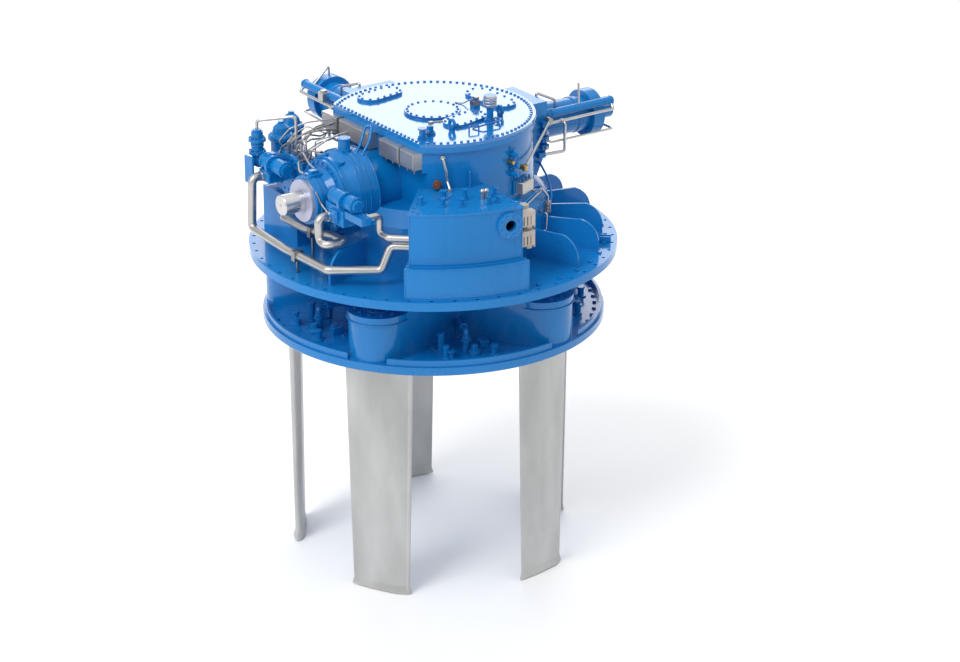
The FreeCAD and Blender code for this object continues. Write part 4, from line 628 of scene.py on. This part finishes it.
# Oil gear: motor pumps, relief valve and filters on their painted frame, with end
# covers, fins and flange bolts. The bright suction and return pipes sit in dark
# steel clamps on posts, and the cover's switch and valve have bodies of that steel.
FAR_PUMP_X, FAR_PUMP_Z = -1.420, 0.925
NEAR_PUMP_X, NEAR_PUMP_Z = -1.375, 0.900
RELIEF_AXIS = (-1.430, 0.985)
FILTER_AXES = ((-1.104, 1.065), (-0.855, 1.275))
dress("housing_paint", "oil_filters", "oil_pumps", "relief_valve", "equipment_frame",
      "gearbox_cover")
dress("pipe_steel", "oil_pipes", "hydraulic_lines")
bm = bmesh.new()
for level in (0.470, 0.830):
    add_ring(bm, (FAR_PUMP_X, level, FAR_PUMP_Z), (0, 1, 0), 0.081, 0.004, 0.012, 48)
for level in (-0.725, -0.385):
    add_ring(bm, (NEAR_PUMP_X, level, NEAR_PUMP_Z), (0, 1, 0), 0.081, 0.004, 0.012, 48)
add_round(bm, (FAR_PUMP_X, 0.462, FAR_PUMP_Z), (0, -1, 0), 0.066, 0.030)
add_round(bm, (NEAR_PUMP_X, -0.742, NEAR_PUMP_Z), (0, -1, 0), 0.064, 0.034, 0.056)
add_round(bm, (NEAR_PUMP_X, -0.356, NEAR_PUMP_Z), (0, 1, 0), 0.062, 0.026, 0.056)
add_block(bm, (-1.470, -0.530, 0.700), (-1.438, -0.400, 0.800))
add_block(bm, (-1.440, 0.690, 1.000), (-1.390, 0.760, 1.035))
add_block(bm, (-1.400, -0.560, 0.830), (-1.320, -0.480, 0.858))
finish_piece("pump_trim", bm, "housing_paint", "housing")
bm = bmesh.new()
add_bolt_circle(bm, (FAR_PUMP_X, 0.432, FAR_PUMP_Z), (0, -1, 0), 0.052, 6, 0.008, 0.009)
add_bolt_circle(bm, (NEAR_PUMP_X, -0.776, NEAR_PUMP_Z), (0, -1, 0), 0.046, 6, 0.008, 0.009)
add_bolt_circle(bm, (NEAR_PUMP_X, -0.600, NEAR_PUMP_Z), (0, -1, 0), 0.088, 8, 0.008, 0.010)
add_bolt_circle(bm, (FAR_PUMP_X, 0.640, FAR_PUMP_Z), (0, -1, 0), 0.091, 8, 0.008, 0.010)
for z in (0.990, 1.120):
    add_bolt_circle(bm, (*RELIEF_AXIS, z), UP, 0.074, 8, 0.009, 0.011)
for y, z in ((-0.505, 0.725), (-0.505, 0.775), (-0.425, 0.725), (-0.425, 0.775)):
    add_hex(bm, (-1.470, y, z), (-1, 0, 0), 0.010, 0.010)
for y in (-0.88, -0.80, -0.72, -0.64):
    add_hex(bm, (NEAR_PUMP_X, y, 0.824), UP, 0.011, 0.011)
for x, y in FILTER_AXES:
    add_bolt_circle(bm, (x, y, 1.070), UP, 0.115, 12, 0.009, 0.012)
finish_piece("pump_bolts", bm, "bolt_paint", "housing", 0)
bm = bmesh.new()
add_block(bm, (-1.562, 0.870, 0.680), (-1.540, 1.020, 0.960))
add_block(bm, (-1.545, 0.920, 0.858), (-1.488, 0.960, 0.886))
for x, y in FILTER_AXES:
    add_ring(bm, (x, y, 1.045), UP, 0.127, 0.007, 0.026, 56)
    add_ring(bm, (x, y, 0.800), UP, 0.108, 0.006, 0.012, 56)
    add_round(bm, (x, y, 1.188), UP, 0.030, 0.022, segments=6)
add_round(bm, (*RELIEF_AXIS, 1.188), UP, 0.046, 0.022)
add_ring(bm, (*RELIEF_AXIS, 1.050), UP, 0.061, 0.006, 0.020, 48)
finish_piece("valve_trim", bm, "housing_paint", "housing")
bm = bmesh.new()
add_block(bm, (-1.712, -0.130, 0.210), (-1.604, -0.070, 0.318))
add_block(bm, (-1.672, -0.112, 0.086), (-1.644, -0.088, 0.214))
add_block(bm, (-1.438, 0.020, 0.352), (-1.332, 0.080, 0.462))
add_block(bm, (-1.400, 0.038, 0.086), (-1.372, 0.062, 0.356))
add_block(bm, (0.390, -0.190, COVER_TOP + 0.098), (0.432, -0.130, COVER_TOP + 0.122))
add_block(bm, (0.372, -0.185, COVER_TOP + 0.030), (0.450, -0.107, COVER_TOP + 0.086))
add_block(bm, (-0.420, -0.580, 1.484), (-0.372, -0.540, 1.512))
finish_piece("pipe_clamps", bm, "gear_steel", "housing", 0.004)
bm = bmesh.new()
for centre, axis, radius in (((-1.5003, 0.795, 0.790), (-1, 0, 0), 0.054),
                             ((-1.4403, -0.345, 0.700), (-1, 0, 0), 0.054),
                             ((-1.310, 0.600, 0.400), (1, 0, 0), 0.062),
                             ((-1.3197, -0.815, 0.787), (1, 0, 0), 0.044)):
    add_round(bm, centre, axis, radius, 0.018)
finish_piece("pipe_collars", bm, "pipe_steel", "housing")


# Small bore tubes: drawn steel, one dark in every three, bent by hand between the
# filters, the gearbox casing, the terminal boxes and the barrel, with a hexagon
# fitting screwed in at each foot.
TUBES = [
    [(-1.16, 0.52, 0.960), (-1.16, 0.52, 1.05), (-1.02, 0.50, 1.12), (-0.80, 0.62, 1.08),
     (-0.69, 0.66, 1.130)],
    [(-1.20, 0.60, 0.960), (-1.20, 0.60, 1.10), (-1.05, 0.62, 1.18), (-0.86, 0.72, 1.10),
     (-0.70, 0.74, 1.130)],
    [(-1.12, 0.70, 0.960), (-1.12, 0.70, 1.04), (-0.96, 0.74, 1.08), (-0.78, 0.80, 1.04),
     (-0.68, 0.82, 1.130)],
    [(-1.08, 0.46, 0.960), (-1.08, 0.46, 1.16), (-0.95, 0.40, 1.20), (-0.80, 0.42, 1.10),
     (-0.69, 0.50, 1.130)],
    [(-1.22, 0.47, 0.960), (-1.24, 0.42, 1.08), (-1.24, 0.30, 1.14), (-1.20, 0.18, 1.145)],
    [(-1.19, 0.80, 0.960), (-1.19, 0.80, 1.08), (-1.06, 0.84, 1.14), (-1.04, 0.93, 1.10),
     (-1.06, 0.955, 1.060)],
    [(-1.10, 0.88, 0.960), (-1.10, 0.86, 1.02), (-0.98, 0.84, 1.06), (-0.90, 0.90, 1.10),
     (-0.74, 0.83, 1.135)],
    [(-1.23, 0.70, 0.960), (-1.25, 0.66, 1.12), (-1.16, 0.56, 1.22), (-0.98, 0.52, 1.24),
     (-0.80, 0.56, 1.20), (-0.739, 0.56, 1.18)],
    [(-1.20, 0.50, 0.960), (-1.22, 0.44, 1.00), (-1.34, 0.36, 1.02), (-1.42, 0.22, 0.99),
     (-1.44, 0.10, 1.000)],
    [(-1.24, 0.55, 0.960), (-1.26, 0.50, 1.04), (-1.30, 0.34, 1.12), (-1.36, 0.14, 1.08),
     (-1.37, 0.02, 1.062)],
    [(-1.14, 0.58, 0.960), (-1.14, 0.56, 1.14), (-1.00, 0.58, 1.26), (-0.86, 0.66, 1.24),
     (-0.74, 0.70, 1.200)],
    [(-1.18, 0.45, 0.960), (-1.16, 0.40, 1.10), (-1.04, 0.32, 1.20), (-0.90, 0.34, 1.22),
     (-0.739, 0.40, 1.21)],
    [(-1.13, 0.80, 0.960), (-1.15, 0.76, 1.16), (-1.02, 0.70, 1.24), (-0.90, 0.58, 1.18),
     (-0.72, 0.60, 1.132)],
    [(-1.24, 0.86, 0.960), (-1.26, 0.80, 1.04), (-1.18, 0.70, 1.14), (-1.02, 0.66, 1.20),
     (-0.739, 0.62, 1.25)],
    [(-1.10, 0.50, 0.960), (-1.12, 0.36, 1.02), (-1.22, 0.24, 1.12), (-1.23, 0.10, 1.155)],
    [(-1.15, 0.90, 0.960), (-1.22, 0.92, 1.06), (-1.12, 0.88, 1.18), (-0.96, 0.80, 1.24),
     (-0.739, 0.76, 1.24)],
    [(-1.47, -0.02, 1.01), (-1.50, -0.06, 0.98), (-1.49, -0.20, 0.90), (-1.47, -0.26, 0.80),
     (-1.46, -0.35, 0.74)],
]
for number, points in enumerate(TUBES):
    slot = "gear_steel" if number % 3 == 1 else "pipe_steel"
    bent_tube("sense_tube_%d" % (number + 1), points, 0.0075 + 0.0015 * (number % 3), slot,
              "housing", 0.05)
bm = bmesh.new()
for points in TUBES[:-1]:
    add_round(bm, points[0], UP, 0.016, 0.030, segments=6)
for x, y, z in ((-1.00, 0.52, 0.96), (-1.10, 0.56, 0.96), (-1.17, 0.66, 0.96), (-1.07, 0.80, 0.96)):
    add_block(bm, (x - 0.030, y - 0.024, z), (x + 0.030, y + 0.024, z + 0.070))
finish_piece("tube_fittings", bm, "pipe_steel", "housing")


# Oil tank: welded plate with a bolted lid, a studded port and small fittings. The
# drain pipe comes down from the drum; the moulded hoods of the cable connectors
# are clipped to the end wall, and a brown sight cap is screwed into the drum.
TANK_LID = 0.935
SLOT_MATERIAL["hood_beige"] = worked_material(
    "beige_hood_plastic", (0.47, 0.42, 0.36), (0.75, 0.72, 0.66), roughness=0.5, cloud_scale=5.0,
    grain_scale=140.0, variation=0.08, wear=0.4, bump=0.08)
sight_glass = worked_material(
    "brown_sight_cap", (0.17, 0.055, 0.018), (0.30, 0.14, 0.06), coat=0.3, roughness=0.3,
    cloud_scale=6.0, grain_scale=140.0, variation=0.15, wear=0.3, bump=0.04)
# A near-black finish for the hood grooves: painted shade.
painted_groove_shade = worked_material(
    "hood_groove_painted_shade", (0.05, 0.035, 0.025), (0.09, 0.07, 0.05), roughness=0.6, cloud_scale=6.0,
    grain_scale=140.0, variation=0.1, wear=0.1, bump=0.04)
dress("housing_paint", "oil_tank", "tank_lid", "tank_port")
dress("hood_beige", "cable_connectors")
bm = bmesh.new()
add_bolt_circle(bm, polar(1.756, -99.2, 0.768), polar(1, -99.2), 0.098, 8, 0.013, 0.014, 22.5)
for angle in range(-129, -95, 4):
    add_hex(bm, polar(1.700, angle, TANK_LID), UP, 0.010, 0.010)
for radius in (1.20, 1.32, 1.44, 1.56, 1.66):
    add_hex(bm, polar(radius, -130.6, TANK_LID), UP, 0.010, 0.010)
    add_hex(bm, polar(radius, -95.6, TANK_LID), UP, 0.010, 0.010)
finish_piece("tank_bolts", bm, "bolt_paint", "housing", 0)
bm = bmesh.new()
for x, y, height, radius in ((-0.363, -1.486, 0.050, 0.020), (-0.262, -1.490, 0.040, 0.018),
                             (-0.605, -1.385, 0.055, 0.022), (-0.760, -1.290, 0.060, 0.022),
                             (-0.900, -1.130, 0.050, 0.018), (-0.480, -1.250, 0.080, 0.024),
                             (-0.180, -1.330, 0.060, 0.022), (-0.640, -1.120, 0.060, 0.030)):
    add_round(bm, (x, y, TANK_LID), UP, 1.6 * radius, 0.012)
    add_round(bm, (x, y, TANK_LID + 0.010), UP, radius, height)
    add_round(bm, (x, y, TANK_LID + 0.010 + height), UP, 1.3 * radius, 0.018, segments=6)
finish_piece("tank_fittings", bm, "housing_paint", "housing")
bm = bmesh.new()
for radius, angle, top, foot in ((1.786, -132.9, 0.40, 0.09), (1.786, -93.4, 0.40, 0.09),
                                 (1.723, -131.6, 0.915, 0.40), (1.723, -94.7, 0.915, 0.40)):
    add_bead(bm, polar(radius, angle, top), polar(radius, angle, foot), 0.006, segments=10)
for radius, height in ((1.786, 0.399), (1.7225, 0.404), (1.786, 0.090)):
    add_bowed_bead(bm, (0, 0, height), radius, -132.9, 39.5, 24, 0.0055)
finish_piece("tank_welds", bm, "housing_paint", "housing", 0)
bent_tube("drain_pipe", [polar(1.000, -118.6, 1.250), polar(1.045, -118.6, 1.250),
                         polar(1.045, -117.0, 1.120), polar(1.035, -116.4, 1.020),
                         (-0.470, -0.985, 0.960), (-0.475, -0.990, TANK_LID)], 0.013, "pipe_steel",
          "housing", 0.04)
bent_tube("level_pipe", [polar(1.002, -104.0, 1.090), polar(1.030, -104.0, 1.100),
                         polar(1.030, -104.0, 1.000), polar(1.040, -104.0, TANK_LID)], 0.010,
          "housing_paint", "housing", 0.03)
bm = bmesh.new()
add_round(bm, polar(1.000, -118.6, 1.250), polar(1, -118.6), 0.024, 0.024, segments=6)
add_round(bm, (-0.475, -0.990, TANK_LID), UP, 0.026, 0.030, segments=6)
for x, y in ((-0.330, -1.330), (-0.290, -1.335)):
    add_round(bm, (x, y, TANK_LID), UP, 0.020, 0.060)
    bmesh.ops.create_uvsphere(bm, u_segments=20, v_segments=12, radius=0.027,
                              matrix=Matrix.Translation((x, y, 1.010)))
finish_piece("drain_fittings", bm, "pipe_steel", "housing")
bm = bmesh.new()
add_round(bm, (-0.532, -0.858, 0.988), (-0.53, -0.85, 0), 0.042, 0.050)
add_round(bm, (-0.558, -0.900, 0.988), (-0.53, -0.85, 0), 0.030, 0.034, segments=6)
sight_cap = finish_piece("amber_cap", bm, "bearing_bronze", "housing")
sight_cap.data.materials[0] = sight_glass
# Hoods: distance from the middle, and height.
HOODS = ((1.610, 0.500), (1.490, 0.520), (1.610, 0.700), (1.490, 0.720))
HOOD_TURN = Matrix.Rotation(math.radians(-94.6), 4, "Z")
bm = bmesh.new()
for radius, height in HOODS:
    add_block(bm, (radius - 0.004, 0.100, height + 0.105), (radius + 0.078, 0.170, height + 0.155),
              HOOD_TURN)
    add_block(bm, (radius + 0.010, 0.160, height - 0.030), (radius + 0.064, 0.178, height + 0.120),
              HOOD_TURN)
    add_block(bm, (radius + 0.022, 0.090, height - 0.040), (radius + 0.052, 0.150, height + 0.002),
              HOOD_TURN)
finish_piece("connector_hoods", bm, "hood_beige", "housing", 0.010)
# Dark strips laid on each hood's face and end: painted shade standing for the shade in its grooves
# and slits.
bm = bmesh.new()
for radius, height in HOODS:
    for step in range(4):
        add_block(bm, (radius + 0.016, 0.172, height - 0.010 + 0.030 * step),
                  (radius + 0.058, 0.181, height - 0.004 + 0.030 * step), HOOD_TURN)
for height in (0.500, 0.700):
    for low, high in ((0.040, 0.047), (0.078, 0.088), (0.116, 0.122)):
        add_block(bm, (1.610 + 0.070, low, height + 0.012), (1.610 + 0.076, high, height + 0.100),
                  HOOD_TURN)
hood_grooves_painted_shade = finish_piece("hood_grooves_painted_shade", bm, "gear_steel", "housing", 0)
hood_grooves_painted_shade.data.materials[0] = painted_groove_shade


# Servomotors: flanged steel cylinders bolted to the drum's consoles, each with its
# guide tube and a valve group beside the flange. The bright oil lines are drawn
# tube and stand for the plain ones; pistons and column are bare steel inside.
SERVO_Z = 1.035
dress("housing_paint", "servo_cylinders", "servo_tails", "pivot_carrier")
dress("pipe_steel", "servo_pipes")
dress("gear_steel", "servo_piston_x", "servo_piston_y", "gimbal_ring", "control_column")
# Letter, side of the guide tube, turn, the top line's end and the vent pipe's course.
SERVO_SIDES = (
    ("x", -1, Matrix.Identity(4), 1.42, [(1.650, 0.200, 1.205), (1.650, 0.200, 1.440)]),
    ("y", 1, Matrix.Rotation(math.radians(90), 4, "Z"), 1.50,
     [(1.900, 0.0, 1.265), (1.900, 0.010, 1.372), (1.900, 0.150, 1.240), (1.900, 0.190, 1.205)]),
)
for letter, side, turn, top_line_end, vent_points in SERVO_SIDES:
    along = turn @ Vector((1, 0, 0))
    aside = turn @ Vector((0, side, 0))
    bm = bmesh.new()
    add_bolt_circle(bm, turn @ Vector((1.960, 0, SERVO_Z)), along, 0.205, 16, 0.013, 0.014)
    add_bolt_circle(bm, turn @ Vector((1.235, 0, SERVO_Z)), along, 0.208, 16, 0.012, 0.013)
    finish_piece("servo_bolts_" + letter, bm, "bolt_paint", "housing", 0)
    bm = bmesh.new()
    add_ring(bm, turn @ Vector((1.700, 0, SERVO_Z)), along, 0.183, 0.005, 0.022, 72)
    add_ring(bm, turn @ Vector((1.960, 0, SERVO_Z)), along, 0.2355, 0.0025, 0.004, 72)
    add_ring(bm, turn @ Vector((1.300, 0, SERVO_Z)), along, 0.182, 0.004, 0.010, 72)
    for height, back in ((0.780, 1.060), (0.860, 1.100), (0.940, 1.100), (1.020, 1.100),
                         (1.100, 1.100)):
        add_block(bm, (back, side * 0.280, height), (back + 0.080, side * 0.345, height + 0.055),
                  turn)
    add_round(bm, turn @ Vector((1.234, side * 0.200, 1.175)), along, 0.045, 0.836)
    for place in (1.300, 2.050):
        add_ring(bm, turn @ Vector((place, side * 0.200, 1.175)), along, 0.046, 0.006, 0.012, 40)
    finish_piece("servo_trim_" + letter, bm, "housing_paint", "housing")
    bm = bmesh.new()
    for height in (0.887, 0.967, 1.047, 1.127):
        add_round(bm, turn @ Vector((1.140, side * 0.343, height)), aside, 0.018, 0.024, segments=6)
        add_round(bm, turn @ Vector((1.140, side * 0.365, height)), aside, 0.010, 0.018)
    add_round(bm, turn @ Vector((1.360, side * 0.288, 1.111)), along, 0.024, 0.030, segments=6)
    finish_piece("servo_fittings_" + letter, bm, "pipe_steel", "housing")
    for name, points, radius in (
            ("servo_line_guide", [(1.175, 0.315, 1.118), (1.260, 0.290, 1.112),
                                  (2.040, 0.272, 1.108), (2.045, 0.228, 1.150)], 0.016),
            ("servo_line_loop", [(1.375, 0.286, 1.111), (1.375, 0.345, 1.100),
                                 (1.375, 0.345, 0.805), (1.136, 0.318, 0.805)], 0.016),
            ("servo_line_top", [(1.215, 0.070, 1.250), (1.215, 0.070, 1.375),
                                (top_line_end, 0.110, 1.275), (top_line_end, 0.110, 1.165)], 0.014),
            ("servo_line_low", [(1.140, 0.380, 0.967), (1.200, 0.360, 0.935), (2.090, 0.200, 0.868),
                                (2.050, 0.020, 0.890), (2.045, 0.010, 0.932)], 0.012),
            ("servo_line_vent", vent_points, 0.012)):
        course = [turn @ Vector((x, side * y, z)) for x, y, z in points]
        line = bent_tube(name + "_" + letter, course, radius, "pipe_steel", "housing")
        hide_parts("servo_pipes")
bm = bmesh.new()
add_block(bm, (-0.300, 1.560, 1.125), (-0.205, 1.650, 1.215))
add_block(bm, (-0.285, 1.575, 1.210), (-0.225, 1.635, 1.235))
finish_piece("position_switch", bm, "box_grey", "housing", 0.004)


# Terminal boxes: folded sheet metal on the drum's flat side, each with a raised
# lid held by screws, and with cable glands screwed into its underside.
dress("box_grey", "terminal_boxes")
BOX_SPANS = ((0.600, 0.877), (0.021, 0.563), (-0.509, -0.159), (-0.767, -0.526))
LID_FACE = -0.746
lids = bmesh.new()
screws = bmesh.new()
glands = bmesh.new()
for low, high in BOX_SPANS:
    add_block(lids, (LID_FACE, low + 0.012, 1.142), (-0.737, high - 0.012, 1.290))
    for y in (low + 0.026, high - 0.026):
        for z in (1.156, 1.276):
            add_round(screws, (LID_FACE, y, z), (-1, 0, 0), 0.008, 0.005, segments=12)
    count = max(2, int((high - low) / 0.09))
    for number in range(count):
        y = low + (high - low) * (number + 0.5) / count
        add_round(glands, (-0.690, y, 1.131), (0, 0, -1), 0.017, 0.030, segments=6)
        add_round(glands, (-0.690, y, 1.103), (0, 0, -1), 0.012, 0.026, 0.008)
finish_piece("box_lids", lids, "box_grey", "housing", 0.003)
finish_piece("box_screws", screws, "gear_steel", "housing", 0)
finish_piece("box_glands", glands, "gear_steel", "housing", 0)


# Rotor: a welded steel disc with five cast blade housings under bolted caps, in
# the same blue but duller. The bays between them hold pipes, brackets, posts and
# studs, and the neck turns in a large roller bearing.
DISC_TOP = -0.633
CAP_TOP = -0.200
BLADE_CIRCLE = 1.400
BLADE_1_ANGLE = -2.5
SLOT_MATERIAL["rotor_paint"] = worked_material(
    "rotor_blue_paint", (0.001, 0.172, 0.490), PAINT_EDGE_HIGHLIGHT, coat=0.48, specular=0.24,
    roughness=0.28, cloud_scale=1.3, grain_scale=38.0, variation=0.06, wear=0.3, bump=0.008)
dress("rotor_paint", "rotor_disc", "rotor_neck", "blade_housings", "bearing_caps", "bay_fittings")
dress("bolt_paint", "cap_bolts")
dress("bearing_steel", "bearing_inner_race", "bearing_outer_race")
dress("bearing_bronze", "roller_cage")
for bay in range(5):
    blade_angle = BLADE_1_ANGLE + 72 * bay
    middle = blade_angle + 36
    course = [polar(radius, middle, height) for radius, height in
              ((1.330, -0.501), (1.330, -0.415), (1.060, -0.415), (1.000, -0.470),
               (0.960, -0.560), (0.960, DISC_TOP))]
    bent_tube("bay_pipe_%d" % (bay + 1), course, 0.026, "rotor_paint", "rotor", 0.06)
    bm = bmesh.new()
    add_round(bm, polar(1.330, middle, -0.501), UP, 0.042, 0.022)
    add_round(bm, polar(0.960, middle, DISC_TOP), UP, 0.048, 0.024)
    add_round(bm, polar(1.200, middle, -0.415), polar(1, middle), 0.038, 0.050)
    add_round(bm, polar(1.420, middle + 2.6, DISC_TOP), UP, 0.060, 0.040)
    add_round(bm, polar(1.420, middle + 2.6, DISC_TOP + 0.038), UP, 0.040, 0.060, 0.032)
    turn = Matrix.Rotation(math.radians(middle), 4, "Z")
    add_block(bm, (1.090, -0.330, DISC_TOP), (1.112, -0.180, DISC_TOP + 0.120), turn)
    add_block(bm, (1.110, -0.330, DISC_TOP), (1.210, -0.180, DISC_TOP + 0.014), turn)
    add_block(bm, (1.180, 0.150, DISC_TOP), (1.300, 0.240, DISC_TOP + 0.070), turn)
    finish_piece("bay_trim_%d" % (bay + 1), bm, "rotor_paint", "rotor", 0.003)
    bm = bmesh.new()
    for angle in range(-15, 19, 6):
        add_hex(bm, polar(1.625, middle + angle, DISC_TOP), UP, 0.019, 0.020)
    add_bolt_circle(bm, polar(1.330, middle, -0.479), UP, 0.033, 6, 0.007, 0.008)
    add_bolt_circle(bm, polar(1.420, middle + 2.6, DISC_TOP + 0.040), UP, 0.050, 8, 0.007, 0.008)
    for side in (-1, 1):
        for radius in (0.90, 1.02, 1.14, 1.26):
            swing = 9.0 + 4.5 * (radius - 0.9) / 0.36
            add_hex(bm, polar(radius, middle + side * swing, DISC_TOP), UP, 0.017, 0.018)
    finish_piece("bay_bolts_%d" % (bay + 1), bm, "bolt_paint", "rotor", 0)
    bm = bmesh.new()
    for radius, aside, height, wide in ((1.48, -9.0, 0.10, 0.028), (1.30, -10.5, 0.16, 0.034),
                                        (1.12, -13.0, 0.12, 0.026), (1.50, 9.5, 0.07, 0.032),
                                        (1.08, 13.5, 0.15, 0.030)):
        foot = polar(radius, middle + aside, DISC_TOP)
        add_round(bm, foot, UP, 1.7 * wide, 0.014)
        add_round(bm, foot + Vector((0, 0, 0.012)), UP, wide, height)
        add_round(bm, foot + Vector((0, 0, 0.010 + height)), UP, 1.3 * wide, 0.024, segments=6)
    finish_piece("bay_posts_%d" % (bay + 1), bm, "rotor_paint", "rotor", 0.002)
    axis_at = polar(BLADE_CIRCLE, blade_angle, CAP_TOP)
    bm = bmesh.new()
    add_round(bm, axis_at + Vector((0, 0, 0.029)), UP, 0.150, 0.012)
    add_round(bm, axis_at + Vector((0, 0, 0.040)), UP, 0.050, 0.014)
    add_bolt_circle(bm, axis_at + Vector((0, 0, 0.041)), UP, 0.120, 8, 0.011, 0.010)
    finish_piece("cap_trim_%d" % (bay + 1), bm, "bolt_paint", "rotor")
    bm = bmesh.new()
    nose_at = polar(1.395, blade_angle, -0.245)
    add_bowed_bead(bm, nose_at, 0.3135, blade_angle - 104, 208, 26, 0.006)
    finish_piece("lobe_bead_%d" % (bay + 1), bm, "rotor_paint", "rotor", 0)


# Blades and linkage: five forged foils with a satin ground finish, turning in
# bronze bearings. Levers, rods and steering disc are bare steel, oiled, and pinned
# together inside the rotor.
SLOT_MATERIAL["blade_steel"] = worked_material(
    "blade_satin_metal", (0.47, 0.47, 0.465), (0.74, 0.74, 0.74), metallic=0.75, roughness=0.36,
    cloud_scale=3.0, grain_scale=30.0, variation=0.15, wear=0.6, bump=0.10, stretch=0.35)
dress("bearing_bronze", "blade_bearings")
dress("gear_steel", "steering_disc")
for number in range(1, 6):
    dress("blade_steel", "blade_%d" % number)
    dress("gear_steel", "blade_lever_%d" % number, "link_rod_%d" % number)
